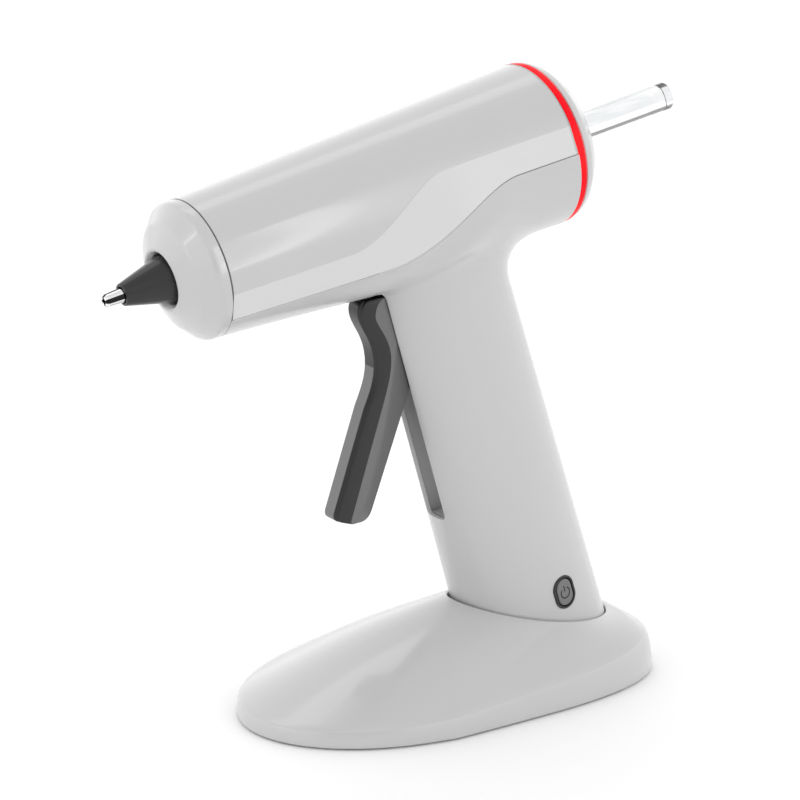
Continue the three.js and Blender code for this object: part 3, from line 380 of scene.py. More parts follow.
def loft(sections: Sequence[Array], normals: Sequence[Array], finish: Sequence[int] = ()) -> Patch:
    """Joins closed sections of equal length in a row, and closes both ends with a face.

    Args:
        sections: the points of each section, in order.
        normals: the normals of each section.
        finish: the finish of each band between two sections, and of the two ends after them.

    Returns:
        A closed patch.
    """
    count = len(sections[0])
    patch = grid(np.stack(sections), np.stack(normals), wrap_columns=True)
    last = (len(sections) - 1) * count
    faces = patch.faces + [tuple(range(count)), tuple(range(last, last + count))]
    bands = list(finish) or [0] * (len(sections) + 1)
    each = [bands[i] for i in range(len(sections) - 1) for _ in range(count)]
    return Patch(patch.points, patch.normals, faces, each + [bands[-2], bands[-1]])


# ---- Mouldings that follow a distance rule --------------------------------------------------
def slope(level: Level, points: Array, reach: float = 0.01) -> Array:
    """Measures a level's gradient by central differences."""
    parts = []
    for axis in range(3):
        step = np.zeros(3)
        step[axis] = reach
        parts.append((level(points + step) - level(points - step)) / (2 * reach))
    return np.stack(parts, -1)


def onto(level: Level, points: Array, rounds: int = 4) -> Array:
    """Pulls points onto a level's zero surface by Newton's steps."""
    for _ in range(rounds):
        lean = slope(level, points)
        points = points - lean * (level(points) / np.maximum((lean**2).sum(-1), 1e-9))[:, None]
    return points


@dataclass
class Moulding:
    """A triangle mesh that lies on a distance rule's zero surface and can be split and trimmed.

    Attributes:
        rule: distance to the surface, negative inside.
        points: vertices.
        triangles: vertex numbers, three to a row.
    """

    rule: Level
    points: Array
    triangles: Array

    @classmethod
    def cast(cls, rule: Level, low: Array, high: Array, step: float) -> "Moulding":
        """Meshes the rule's zero surface with one vertex in each lattice cell that it crosses.

        Args:
            rule: distance to the surface.
            low: lowest corner of the lattice.
            high: highest corner of the lattice.
            step: lattice spacing.

        Returns:
            The moulding, its vertices evened out and exactly on the surface.
        """
        counts = np.ceil((high - low) / step).astype(int) + 1
        axes = [low[k] + step * np.arange(counts[k]) for k in range(3)]
        nodes = np.stack(np.meshgrid(*axes, indexing="ij"), -1).reshape(-1, 3)
        inside = (rule(nodes) < 0).reshape(counts)
        n = inside.astype(int)
        total = sum(
            n[i : counts[0] - 1 + i, j : counts[1] - 1 + j, k : counts[2] - 1 + k]
            for i in (0, 1)
            for j in (0, 1)
            for k in (0, 1)
        )
        active = (total > 0) & (total < 8)
        number = np.full(active.shape, -1)
        number[active] = np.arange(active.sum())
        points = low + step * (np.argwhere(active) + 0.5)
        quads = []
        for axis in range(3):
            b, c = (axis + 1) % 3, (axis + 2) % 3
            ahead = np.roll(inside, -1, axis)
            crossing = np.argwhere(inside != ahead)
            limit = np.array(active.shape)
            ok = (crossing[:, axis] < limit[axis]) & (crossing[:, b] > 0) & (crossing[:, c] > 0)
            ok &= (crossing[:, b] < limit[b]) & (crossing[:, c] < limit[c])
            crossing = crossing[ok]
            around = []
            for db, dc in ((-1, -1), (0, -1), (0, 0), (-1, 0)):
                cell = crossing.copy()
                cell[:, b] += db
                cell[:, c] += dc
                around.append(number[tuple(cell.T)])
            quad = np.stack(around, 1)
            flip = ~inside[tuple(crossing.T)]
            quad[flip] = quad[flip][:, ::-1]
            quads.append(quad[(quad >= 0).all(1)])
        quad = np.concatenate(quads)
        made = cls(rule, onto(rule, points), np.concatenate([quad[:, [0, 1, 2]], quad[:, [0, 2, 3]]]))
        made.even_out(quad)
        return made

    def even_out(self, quad: Array, rounds: int = 4) -> None:
        """Slides vertices towards their neighbours' middle, along the surface."""
        pairs = np.concatenate([quad[:, [0, 1]], quad[:, [1, 2]], quad[:, [2, 3]], quad[:, [3, 0]]])
        count = np.bincount(pairs.ravel(), minlength=len(self.points))[:, None]
        for _ in range(rounds):
            total = np.zeros_like(self.points)
            np.add.at(total, pairs[:, 0], self.points[pairs[:, 1]])
            np.add.at(total, pairs[:, 1], self.points[pairs[:, 0]])
            shift = np.where(count > 0, total / np.maximum(count, 1) - self.points, 0)
            normal = unit(slope(self.rule, self.points))
            shift -= normal * (shift * normal).sum(-1, keepdims=True)
            self.points = onto(self.rule, self.points + 0.6 * shift, 2)

    def seat(self, level: Level, points: Array, rounds: int = 6) -> Array:
        """Slides points along the surface until they lie on a level's zero line too."""
        for _ in range(rounds):
            normal = unit(slope(self.rule, points))
            lean = slope(level, points)
            lean -= normal * (lean * normal).sum(-1, keepdims=True)
            size = np.maximum((lean**2).sum(-1), 0.05)
            points = onto(self.rule, points - lean * (level(points) / size)[:, None], 2)
        return points

    def split(self, level: Level, zone: Level | None = None, snap: float = 0.22) -> None:
        """Adds edges along a level's zero line.

        Args:
            level: signed value whose zero line becomes edges.
            zone: only triangles with a vertex where this is negative are split.
            snap: vertices this near the line move onto it.
        """
        value = level(self.points)
        near = np.abs(value) < snap
        if zone is not None:
            near &= zone(self.points) < 0.5
        self.points[near] = self.seat(level, self.points[near])
        value[near] = 0
        corner = value[self.triangles]
        mixed = (corner.max(1) > 0) & (corner.min(1) < 0)
        if zone is not None:
            mixed &= (zone(self.points)[self.triangles] < 0).any(1)
        kept = [tuple(t) for t in self.triangles[~mixed]]
        added: dict[tuple[int, int], int] = {}
        fresh: list[Array] = []

        def cross(a: int, b: int) -> int:
            """Numbers the new vertex between two vertices on opposite sides."""
            key = (min(a, b), max(a, b))
            if key not in added:
                added[key] = len(self.points) + len(fresh)
                share = value[a] / (value[a] - value[b])
                fresh.append(self.points[a] + share * (self.points[b] - self.points[a]))
            return added[key]

        for triangle in self.triangles[mixed]:
            signs = np.sign(value[triangle])
            if (signs == 0).any():
                k = int(np.argmax(signs == 0))
                o, a, b = np.roll(triangle, -k)
                m = cross(a, b)
                kept += [(o, a, m), (o, m, b)]
                continue
            k = int(np.argmax(signs == -np.sign(signs.sum())))
            lone, a, b = np.roll(triangle, -k)
            i, j = cross(lone, a), cross(lone, b)
            kept += [(lone, i, j), (i, a, b), (i, b, j)]
        self.triangles = np.array(kept)
        if fresh:
            self.points = np.concatenate([self.points, self.seat(level, np.array(fresh))])

    def discard(self, region: Level) -> None:
        """Removes the triangles whose middle lies where the region's value is negative."""
        middle = self.points[self.triangles].mean(1)
        self.triangles = self.triangles[region(middle) > 0]
        used, renumbered = np.unique(self.triangles, return_inverse=True)
        self.points = self.points[used]
        self.triangles = renumbered.reshape(-1, 3)

    def wall(self, thickness: float, edge: float, steps: int = 3) -> Patch:
        """Gives the surface a thickness inwards, with rounded edges all round its trims.

        Args:
            thickness: of the wall.
            edge: radius of its outer edges.
            steps: arc steps of that radius.

        Returns:
            A closed patch.
        """
        normals = unit(slope(self.rule, self.points))
        count = len(self.points)
        faces = [tuple(t) for t in self.triangles.tolist()]
        inner = [(a + count, c + count, b + count) for a, b, c in faces]
        sides = np.concatenate([self.triangles[:, list(pair)] for pair in ((0, 1), (1, 2), (2, 0))])
        known = set(map(tuple, sides.tolist()))
        border = np.array([s for s in sides.tolist() if (s[1], s[0]) not in known])
        away = np.zeros_like(self.points)
        along = unit(self.points[border[:, 1]] - self.points[border[:, 0]])
        out = unit(np.cross(along, normals[border[:, 0]]))
        np.add.at(away, border[:, 0], out)
        np.add.at(away, border[:, 1], out)
        rim = np.unique(border)
        away = unit(away[rim])
        order = {int(v): i for i, v in enumerate(rim)}
        base, up = self.points[rim], normals[rim]
        rows, row_normals = [], []
        for k in range(1, steps + 1):
            angle = math.pi / 2 * k / steps
            lift = edge * (1 - math.cos(angle))
            rows.append(base + edge * math.sin(angle) * away - lift * up)
            row_normals.append(math.cos(angle) * up + math.sin(angle) * away)
        rows.append(base + edge * away - thickness * up)
        row_normals.append(away)
        points = np.concatenate([self.points, self.points - thickness * normals, *rows])
        all_normals = np.concatenate([normals, -normals, *row_normals])
        size = len(rim)
        for a, b in border.tolist():
            i, j = order[a], order[b]
            ring = [(a, b)] + [(2 * count + k * size + i, 2 * count + k * size + j) for k in range(steps + 1)]
            ring.append((a + count, b + count))
            for (p, q), (r, s) in zip(ring, ring[1:]):
                faces.append((q, p, r, s))
        return Patch(points, all_normals, faces + inner)


# ---- Shader nodes ---------------------------------------------------------------------------
class Value:
    """A node socket that arithmetic can be written with."""

    def __init__(self, tree: "Tree", socket: bpy.types.NodeSocket) -> None:
        """Keeps the tree and the output socket."""
        self.tree, self.socket = tree, socket

    def math(self, operation: str, *others: "Value | float") -> "Value":
        """Adds a Math node that starts with this value."""
        return self.tree.add("ShaderNodeMath", {"operation": operation}, dict(enumerate([self, *others])))

    def __add__(self, other: "Value | float") -> "Value":
        return self.math("ADD", other)

    __radd__ = __add__

    def __mul__(self, other: "Value | float") -> "Value":
        return self.math("MULTIPLY", other)

    __rmul__ = __mul__

    def __sub__(self, other: "Value | float") -> "Value":
        return self.math("SUBTRACT", other)

    def __rsub__(self, other: float) -> "Value":
        return self.math("MULTIPLY", -1.0) + other

    def ease(self, start: float, end: float, low: float = 0.0, high: float = 1.0) -> "Value":
        """Eases from low to high while this value goes from start to end."""
        places = {"Value": self, "From Min": start, "From Max": end, "To Min": low, "To Max": high}
        return self.tree.add("ShaderNodeMapRange", {"interpolation_type": "SMOOTHSTEP"}, places)


class Tree:
    """Adds nodes to a node tree, each with its settings and inputs in one call."""

    def __init__(self, tree: bpy.types.NodeTree) -> None:
        """Starts from an empty tree."""
        self.tree = tree
        tree.nodes.clear()

    def node(self, kind: str, settings: dict | None = None, inputs: dict | None = None) -> bpy.types.Node:
        """Adds a node.

        Args:
            kind: the node's type.
            settings: its properties.
            inputs: a constant or a Value for each input, by name or number.

        Returns:
            The node.
        """
        made = self.tree.nodes.new(kind)
        for name, value in (settings or {}).items():
            setattr(made, name, value)
        for key, value in (inputs or {}).items():
            if isinstance(value, Value):
                self.tree.links.new(value.socket, made.inputs[key])
            else:
                made.inputs[key].default_value = value
        return made

    def add(
        self, kind: str, settings: dict | None = None, inputs: dict | None = None, output: str | int = 0
    ) -> Value:
        """Adds a node and gives one of its outputs."""
        return Value(self, self.node(kind, settings, inputs).outputs[output])

    def blend(self, share: Value, low: Value | Sequence[float], high: Value | Sequence[float]) -> Value:
        """Mixes two colours."""
        first, second = (c if isinstance(c, Value) else (*c, 1.0) for c in (low, high))
        inputs = {0: share, 6: first, 7: second}
        return self.add("ShaderNodeMix", {"data_type": "RGBA"}, inputs, 2)


Colour = tuple[float, float, float]


@dataclass(frozen=True)
class Finish:
    """A moulded, plated or painted surface.

    Attributes:
        name: the material's name.
        colour: base colour, linear.
        roughness: of the surface.
        metallic: 1 for bare metal.
        grain: size of its fine texture in millimetres, or 0.
        depth: strength of that texture.
        mottle: how much the colour varies, as a share.
        coat: weight of a clear coat.
        transmission: how clear it is.
    """

    name: str
    colour: Colour
    roughness: float
    metallic: float = 0.0
    grain: float = 0.0
    depth: float = 0.0
    mottle: float = 0.006
    coat: float = 0.0
    transmission: float = 0.0

    def settings(self) -> dict:
        """Lists the shader's constant inputs."""
        return {
            "Metallic": self.metallic,
            "Coat Weight": self.coat,
            "Coat Roughness": 0.08,
            "IOR": 1.49,
            "Transmission Weight": self.transmission,
        }

    def material(self) -> bpy.types.Material:
        """Makes the material, with a fine procedural texture in the object's own coordinates."""
        made = bpy.data.materials.new(self.name + "_finish")
        made.use_nodes = True
        tree = Tree(made.node_tree)
        place = tree.add("ShaderNodeTexCoord", output="Object")
        cloud = tree.add("ShaderNodeTexNoise", {}, {"Vector": place, "Scale": 90.0, "Detail": 3.0})
        dark = tuple(c * (1 - self.mottle) for c in self.colour)
        inputs = self.settings()
        inputs["Base Color"] = self.tinted(tree, place, tree.blend(cloud.ease(0.2, 0.8), dark, self.colour))
        inputs["Roughness"] = cloud.ease(0.2, 0.8, self.roughness * 0.985, self.roughness * 1.015)
        if self.grain:
            fine = {"Vector": place, "Scale": 1 / (self.grain * MM), "Detail": 2.0}
            height = tree.add("ShaderNodeTexNoise", {}, fine)
            bump = {"Height": height, "Strength": self.depth, "Distance": 0.05 * MM}
            inputs["Normal"] = tree.add("ShaderNodeBump", {}, bump)
        self.extend(tree, place, inputs)
        surface = tree.add("ShaderNodeBsdfPrincipled", {}, inputs)
        tree.node("ShaderNodeOutputMaterial", {}, {"Surface": surface})
        return made

    def tinted(self, tree: Tree, place: Value, colour: Value) -> Value:
        """Lets a special finish change the colour."""
        return colour

    def round_axis(self, tree: Tree, place: Value) -> tuple[Value, Value]:
        """Measures a point against the barrel's axis.

        Returns:
            The distance along the axis in millimetres, and the angle round it from the top.
        """
        probes = ((0.0, 0.0, 0.0), (1.0, 0.0, 0.0), (0.0, 0.0, 1.0))
        start, ahead, above = (np.array(GUN.out(probe)) for probe in probes)
        ahead, above = ahead - start, above - start
        parts = tree.node("ShaderNodeSeparateXYZ", {}, {0: place}).outputs
        x, y, z = (Value(tree, part) * (1 / MM) for part in parts)
        along = x * float(ahead[0]) + z * float(ahead[2]) - float(start @ ahead)
        height = x * float(above[0]) + z * float(above[2]) - float(start @ above)
        return along, (y * -1.0).math("ARCTAN2", height)

    def extend(self, tree: Tree, place: Value, inputs: dict) -> None:
        """Lets a special finish add inputs."""


@dataclass(frozen=True)
class LitLens(Finish):
    """A red lens lit from behind by lamps round it.

    Attributes:
        bright: colour of the light over a lamp.
        dim: colour between lamps.
        strength: of the light.
        lamps: number of lamps.
    """

    bright: Colour = (1.0, 0.012, 0.014)
    dim: Colour = (0.42, 0.001, 0.006)
    strength: float = 0.85
    lamps: int = 6

    def settings(self) -> dict:
        """Keeps the lens from whitening under the studio's light."""
        return {**super().settings(), "IOR": 1.12}

    def extend(self, tree: Tree, place: Value, inputs: dict) -> None:
        """Adds the light, stronger over each lamp."""
        around = tree.node("ShaderNodeSeparateXYZ", {}, {0: place})
        axis_height = GUN.out((44.0, 0.0, 0.0))[2] * MM
        height = Value(tree, around.outputs[2]) - axis_height
        angle = height.math("ARCTAN2", Value(tree, around.outputs[1]) * -1.0)
        wave = (angle * float(self.lamps) - 0.9).math("COSINE")
        inputs["Emission Color"] = tree.blend(wave.ease(-0.75, 0.75), self.dim, self.bright)
        inputs["Emission Strength"] = self.strength


@dataclass(frozen=True)
class ClearStickWithPaintedReflections(Finish):
    """Clear glue with faint drawn streaks along its length, and painted dark reflections: a band along its lower
    edge and marks near its rear end.

    Attributes:
        tail: place of the stick's rear end along the barrel, in millimetres.
    """

    tail: float = 85.3

    def tinted(self, tree: Tree, place: Value, colour: Value) -> Value:
        """Adds the streaks, and paints the dark reflections along the lower edge and near the rear end."""
        turned = {"Vector": place, "Rotation": (0.0, GUN.lean, 0.0)}
        along = tree.add("ShaderNodeMapping", {"vector_type": "POINT"}, {**turned, "Scale": (0.06, 1.0, 1.0)})
        streak = tree.add("ShaderNodeTexNoise", {}, {"Vector": along, "Scale": 500.0, "Detail": 1.0})
        clear = tree.blend(streak.ease(0.42, 0.6), (0.80, 0.82, 0.83), self.colour)
        distance, angle = self.round_axis(tree, place)
        # painted reflection: a dark band along the stick's lower side, at a fixed angle from the top
        low = (angle - 2.2).math("ABSOLUTE").ease(0.16, 0.3, 1.0, 0.0)
        edge = tree.blend(low, clear, (0.09, 0.09, 0.09))
        # painted reflection: dark marks over the last 3 mm before the rear end
        wave = (angle * 2.0 + 0.4).math("COSINE").ease(0.0, 0.3)
        return tree.blend(wave * distance.ease(self.tail - 3.0, self.tail - 2.6), edge, (0.01, 0.01, 0.01))


@dataclass(frozen=True)
class MetalWithPaintedReflections(Finish):
    """Bright metal with dark stripes of painted reflection along its length."""

    def tinted(self, tree: Tree, place: Value, colour: Value) -> Value:
        """Paints the dark reflection stripes into the colour."""
        angle = self.round_axis(tree, place)[1]
        # painted reflection: dark stripes at fixed angles round the barrel's axis, mixed into the base colour
        wave = (angle * 4.0 + 0.5).math("COSINE").ease(-0.1, 0.25)
        return tree.blend(wave, self.colour, (0.02, 0.02, 0.02))


MADE: dict[str, bpy.types.Material] = {}


class Look(Enum):
    """The finishes of every piece, by the record's material slot where they have one."""

    WHITE = Finish("white_plastic", (0.52, 0.52, 0.52), 0.26, grain=0.35, depth=0.04, coat=0.5)
    # a lighter copy of the white plastic: painted highlight on the cover's flat strips
    STRIP = Finish("white_plastic_strip", (0.62, 0.62, 0.62), 0.26, grain=0.35, depth=0.04, coat=0.5)
    DARK = Finish("dark_plastic", (0.014, 0.014, 0.015), 0.28, grain=0.3, depth=0.08)
    # a lighter copy of the trigger's dark plastic: painted reflection on its side faces and the front's lower part
    FACE = Finish("trigger_side_face", (0.15, 0.15, 0.152), 0.4, grain=0.25, depth=0.1)
    KEY = Finish("button_face", (0.16, 0.16, 0.163), 0.45, grain=0.2, depth=0.08)
    SYMBOL = Finish("printed_symbol", (0.012, 0.012, 0.013), 0.5)
    CHROME = MetalWithPaintedReflections("chrome", (0.86, 0.86, 0.87), 0.06, metallic=1.0, mottle=0.01)
    RED = LitLens("red_lens", (0.75, 0.01, 0.015), 0.2)
    ALUMINIUM = Finish("aluminium", (0.66, 0.67, 0.68), 0.32, metallic=1.0, grain=0.2, depth=0.2)
    CERAMIC = Finish("ceramic", (0.78, 0.75, 0.68), 0.7, grain=0.4, depth=0.2)
    SILICONE = Finish("silicone", (0.45, 0.08, 0.04), 0.55, grain=0.5, depth=0.1)
    CLEAR = ClearStickWithPaintedReflections("clear_glue", (0.97, 0.975, 0.98), 0.1, transmission=0.96, mottle=0.01)
    BOARD = Finish("green_board", (0.03, 0.18, 0.07), 0.45, grain=0.8, depth=0.15, coat=0.3)
    WRAP = Finish("cell_wrap", (0.03, 0.12, 0.35), 0.3, grain=0.6, depth=0.1, coat=0.3)
    INNER = Finish("inner_plastic", (0.18, 0.185, 0.19), 0.5, grain=0.3, depth=0.15)
    STEEL = Finish("steel", (0.55, 0.56, 0.57), 0.28, metallic=1.0, grain=0.15, depth=0.1)
    RUBBER = Finish("rubber", (0.03, 0.03, 0.032), 0.75, grain=0.3, depth=0.4)
    RED_LEAD = Finish("red_insulation", (0.5, 0.02, 0.02), 0.5, grain=0.5, depth=0.05)
    BLACK_LEAD = Finish("black_insulation", (0.02, 0.02, 0.02), 0.5, grain=0.5, depth=0.05)

    @property
    def made(self) -> bpy.types.Material:
        """Gives the material, made once."""
        if self.name not in MADE:
            MADE[self.name] = self.value.material()
        return MADE[self.name]


# ---- Casing ---------------------------------------------------------------------------------
@dataclass(frozen=True)
class Barrel:
    """The tapered barrel and the line where its cover meets its body.

    Attributes:
        nose: X of the seam with the nose cap.
        tail: X of the seam with the light ring.
        nose_radius: radius there.
        tail_radius: radius there.
    """

    nose: float = -56.2
    tail: float = 42.5
    nose_radius: float = 17.3
    tail_radius: float = 21.0
    seam_nose: float = -10.1
    seam_droop: float = -0.045
    seam_tail: float = 2.0
    seam_rise: tuple[float, float] = (-11.0, 25.0)
    facet_nose: float = -2.5
    facet_droop: float = -0.013
    facet_tail: float = 9.3
    facet_rise: tuple[float, float] = (-24.0, 6.0)

    @property
    def taper(self) -> float:
        """Growth of the radius per millimetre."""
        return (self.tail_radius - self.nose_radius) / (self.tail - self.nose)

    def radius(self, x: Array) -> Array:
        """Radius at a place along the barrel."""
        return self.nose_radius + self.taper * (x - self.nose)

    def seam(self, x: Array) -> Array:
        """Height of the cover's lower edge."""
        t = smooth(*self.seam_rise, x)
        return (1 - t) * (self.seam_nose + self.seam_droop * (x - self.nose)) + t * self.seam_tail

    def facet(self, x: Array) -> Array:
        """Height of the upper edge of the cover's flat strip."""
        t = smooth(*self.facet_rise, x)
        return (1 - t) * (self.facet_nose + self.facet_droop * (x - self.nose)) + t * self.facet_tail


@dataclass(frozen=True)
class Grip:
    """The oval handle, in the gun's frame by way of its own.

    Attributes:
        depth: half depth at the barrel's axis.
        taper: growth of it per millimetre downwards.
        aspect: half width over half depth.
    """

    x: float = HANDLE_X
    depth: float = 17.8
    taper: float = 0.0165
    aspect: float = 0.715
    shoulder: float = -8.0
    power: float = 2.12

    @property
    def frame(self) -> Placement:
        """The handle's frame within the gun's."""
        return Placement((self.x, 0.0, 0.0), HANDLE.lean - GUN.lean)

    def distance(self, own: Array) -> Array:
        """Distance to the oval tube, for points in the handle's frame."""
        depth = self.depth - self.taper * own[..., 2]
        a, b = depth, depth * self.aspect
        p = self.power
        x, y = np.abs(own[..., 0]) / a, np.abs(own[..., 1]) / b
        total = np.maximum(x**p + y**p, 1e-9)
        norm = total ** (1 / p)
        gx, gy = x ** (p - 1) / a, y ** (p - 1) / b
        size = np.hypot(gx, gy) * total ** (1 / p - 1)
        return (norm - 1) / np.maximum(size, 1e-6)


BARREL = Barrel()
GRIP = Grip()


@dataclass
class BodyShell:
    """The casing's lower half with the handle, in the gun's frame.

    Attributes:
        wall: its thickness.
        gap: between mouldings.
        blend_rear: size of the blend behind the handle.
        blend_side: size of the blend elsewhere.
        keel_depth: how far the underside drops by the time it meets the trigger.
        slot_half: half width of the trigger's slot.
        slot_foot: its lower end.
        foot: level of the handle's foot above the table.
        button: centre of the power button's opening, in the handle's frame.
        button_size: width and height of that opening.
    """

    wall: float = 1.0
    gap: float = 0.35
    blend_rear: float = 10.5
    blend_side: float = 3.0
    keel_depth: float = 2.5
    slot_half: float = 4.3
    slot_foot: float = -87.0
    foot: float = 6.35
    button: tuple[float, float] = (3.9, -115.7)
    button_size: tuple[float, float] = (7.0, 9.4)

    def blend(self, x: Array, z: Array) -> Array:
        """Size of the blend at a place: large behind the handle, none near the cover's seam."""
        behind = smooth(GRIP.x + 2, GRIP.x + 17, x + 0.13 * z)
        size = self.blend_side + (self.blend_rear - self.blend_side) * behind
        return size * smooth(0.0, 5.0, BARREL.seam(x) - z) + 1e-3

    def keel(self, x: Array, z: Array) -> Array:
        """Depth that the underside gains towards the trigger."""
        along = np.clip((x - BARREL.nose) / (-14.0 - BARREL.nose), 0.0, 1.0) * (1 - smooth(4.0, 30.0, x))
        return self.keel_depth * along * smooth(0.0, 9.0, BARREL.seam(x) - z)

    def rule(self, points: Array) -> Array:
        """Distance to the outside of barrel and handle, blended."""
        x, y, z = np.moveaxis(points, -1, 0)
        slant = math.cos(math.atan(BARREL.taper))
        barrel = (np.hypot(y, z) - BARREL.radius(x) - self.keel(x, z)) * slant
        own = GRIP.frame.into(points)
        tube = np.maximum(GRIP.distance(own), own[..., 2] - GRIP.shoulder)
        size = self.blend(x, z)
        share = np.maximum(size - np.abs(barrel - tube), 0) / size
        return np.minimum(barrel, tube) - share**2 * size * 0.25

    def above_seam(self, points: Array) -> Array:
        """Height above the body's upper edge."""
        return points[..., 2] - BARREL.seam(points[..., 0]) + self.gap / 2

    def past_nose(self, points: Array) -> Array:
        """Distance ahead of the seam with the nose cap."""
        return BARREL.nose - points[..., 0]

    def past_tail(self, points: Array) -> Array:
        """Distance behind the seam with the light ring."""
        return points[..., 0] - BARREL.tail

    def under_foot(self, points: Array) -> Array:
        """Depth below the handle's foot."""
        return self.foot - GUN.out(points)[..., 2]

    def slot(self, points: Array) -> Array:
        """Signed distance to the trigger's slot seen from the front, negative inside."""
        half = np.abs(points[..., 1]) - self.slot_half
        down = self.slot_foot - points[..., 2]
        up = points[..., 2] + BARREL.radius(-9.0) + 0.6
        front = np.maximum(GRIP.frame.into(points)[..., 0] + 2.0, -17.2 - points[..., 0])
        corner = 1.2
        a, b = half + corner, down + corner
        box = np.hypot(np.maximum(a, 0), np.maximum(b, 0)) + np.minimum(np.maximum(a, b), 0) - corner
        return np.maximum(np.maximum(box, up), front)

    def button_hole(self, points: Array) -> Array:
        """Signed distance to the power button's opening, negative inside."""
        own = GRIP.frame.into(points)
        x, z = own[..., 0] - self.button[0], own[..., 2] - self.button[1]
        half = self.button_size[1] / 2 - self.button_size[0] / 2
        flat = np.hypot(x, np.maximum(np.abs(z) - half, 0)) - self.button_size[0] / 2
        return np.maximum(flat, points[..., 1] + 5)

    def build(self) -> bpy.types.Object:
        """Casts the casing, trims it and gives it a wall."""
        low = np.array([BARREL.nose - 2, -22.0, -150.0])
        high = np.array([BARREL.tail + 2, 22.0, 6.0])
        cast = Moulding.cast(self.rule, low, high, STEP)
        cuts = (self.above_seam, self.past_nose, self.past_tail, self.under_foot)
        for level in cuts:
            cast.split(level)
            cast.discard(lambda p, level=level: -level(p))
        for hole in (self.slot, self.button_hole):
            cast.split(hole)
            cast.discard(hole)
        return settle(
            make_piece("casing_body", cast.wall(self.wall, 0.22).placed(GUN), Look.WHITE.made),
            "gun", "white_plastic", "body_shell",
        )


@dataclass
class TriggerWell:
    """The moulded walls that line the trigger's slot, in the gun's frame."""

    shell: BodyShell
    wall: float = 1.2
    back: float = 8.5

    def build(self) -> bpy.types.Object:
        """Makes a closed U-shaped trough inside the handle."""
        half, foot = self.shell.slot_half, self.shell.slot_foot
        rows = np.linspace(foot, -19.9, 40)
        sections, normals = [], []
        for z in rows:
            front = self.front(z)
            corners = [
                (front, -half - self.wall, 0.1), (self.back, -half - self.wall, 0.3),
                (self.back, half + self.wall, 0.3), (front, half + self.wall, 0.1),
                (front, half, 0.1), (self.back - self.wall, half, 0.8),
                (self.back - self.wall, -half, 0.8), (front, -half, 0.1),
            ]
            line = rounded(corners, 3)
            height = np.full((len(line.points), 1), z)
            sections.append(np.hstack([line.points, height]))
            normals.append(np.hstack([line.normals, np.zeros_like(height)]))
        trough = loft(sections, normals)
        floor = self.front(foot)
        rear = self.back - 1.3
        plate = [(floor, -half, 0.2), (rear, -half, 0.2), (rear, half, 0.2), (floor, half, 0.2)]
        line = rounded(plate, 2)
        low, high = np.full((len(line.points), 1), foot - 1.2), np.full((len(line.points), 1), foot)
        flat = np.hstack([line.normals, np.zeros_like(low)])
        base = loft([np.hstack([line.points, low]), np.hstack([line.points, high])], [flat, flat])
        return settle(
            make_piece("trigger_well", joined(trough, base).placed(GUN), Look.WHITE.made),
            "gun", "white_plastic",
        )

    def front(self, z: float) -> float:
        """Finds where the walls meet the casing's inside at a height."""
        x = np.linspace(-30, 6, 400)
        level = self.shell.rule(np.stack([x, np.full(400, self.shell.slot_half + 0.8), np.full(400, z)], -1))
        return float(x[np.argmax(level < -0.5)])


@dataclass
class TopCover:
    """The casing's upper half with a flat strip along each lower edge."""

    wall: float = 2.6
    gap: float = 0.35

    def section(self, x: float) -> Outline:
        """Draws the cover's section at a place along the barrel.

        Args:
            x: the place.

        Returns:
            A closed outline in Y and Z.
        """
        radius = float(BARREL.radius(x))
        low, high = float(BARREL.seam(x)) + self.gap / 2, float(BARREL.facet(x))
        a, b = math.asin(low / radius), math.asin(high / radius)
        low_y, high_y = radius * math.cos(a), radius * math.cos(b)
        tilt = np.array([high - low, -(high_y - low_y)])
        tilt = tilt / np.linalg.norm(tilt)
        points, normals = [], []
        for share in np.linspace(0.03, 0.97, 8):
            points.append((low_y + share * (high_y - low_y), low + share * (high - low)))
            normals.append(tuple(tilt))
        for angle in np.linspace(b + 0.012, math.pi - b - 0.012, 97):
            points.append((radius * math.cos(angle), radius * math.sin(angle)))
            normals.append((math.cos(angle), math.sin(angle)))
        for share in np.linspace(0.97, 0.03, 8):
            points.append((-low_y - share * (high_y - low_y), low + share * (high - low)))
            normals.append((-tilt[0], tilt[1]))
        inner = radius - self.wall
        a = math.asin((low + 0.02) / inner)
        points += [(-low_y + 0.1, low - 0.0), (-inner * math.cos(a) - 0.1, low)]
        normals += [(0, -1), (0, -1)]
        for angle in np.linspace(math.pi - a, a, 60):
            points.append((inner * math.cos(angle), inner * math.sin(angle)))
            normals.append((-math.cos(angle), -math.sin(angle)))
        points += [(inner * math.cos(a) + 0.1, low), (low_y - 0.1, low)]
        normals += [(0, -1), (0, -1)]
        return Outline(np.array(points, float), np.array(normals, float))

    def build(self) -> bpy.types.Object:
        """Lofts the cover from nose to tail, its ends set in slightly from the seams."""
        stations = np.linspace(BARREL.nose + 0.02, BARREL.tail - 0.02, 130)
        sections, normals = [], []
        for x in stations:
            line = self.section(float(x))
            sections.append(np.column_stack([np.full(len(line.points), x), line.points]))
            normals.append(np.column_stack([np.full(len(line.points), -BARREL.taper), line.normals]))
        cover = loft(sections, normals)
        count = len(sections[0])
        strip = {*range(8), *range(105, 113)}
        # painted highlight: faces of the flat strips take the lighter copy of the white plastic
        cover.finish = [int(all(v % count in strip for v in face)) for face in cover.faces]
        return settle(
            make_piece("casing_cover", cover.placed(GUN), Look.WHITE.made, Look.STRIP.made),
            "gun", "white_plastic", "top_cover",
        )


@dataclass
class Turned:
    """A piece turned about the barrel's axis.

    Attributes:
        name: the piece's name.
        node: the plain node that it stands for.
        corners: its outline in X and radius, anticlockwise, with rounding radii.
        look: its finish.
        slot: its material slot.
    """

    name: str
    node: str
    corners: Sequence[tuple[float, float, float]]
    look: Look
    slot: str
    body: str = "gun"
    steps: int = 6

    def build(self) -> bpy.types.Object:
        """Turns the outline."""
        patch = revolve(rounded(self.corners, self.steps))
        piece = make_piece(self.name, patch.placed(GUN), self.look.made)
        return settle(piece, self.body, self.slot, self.node)


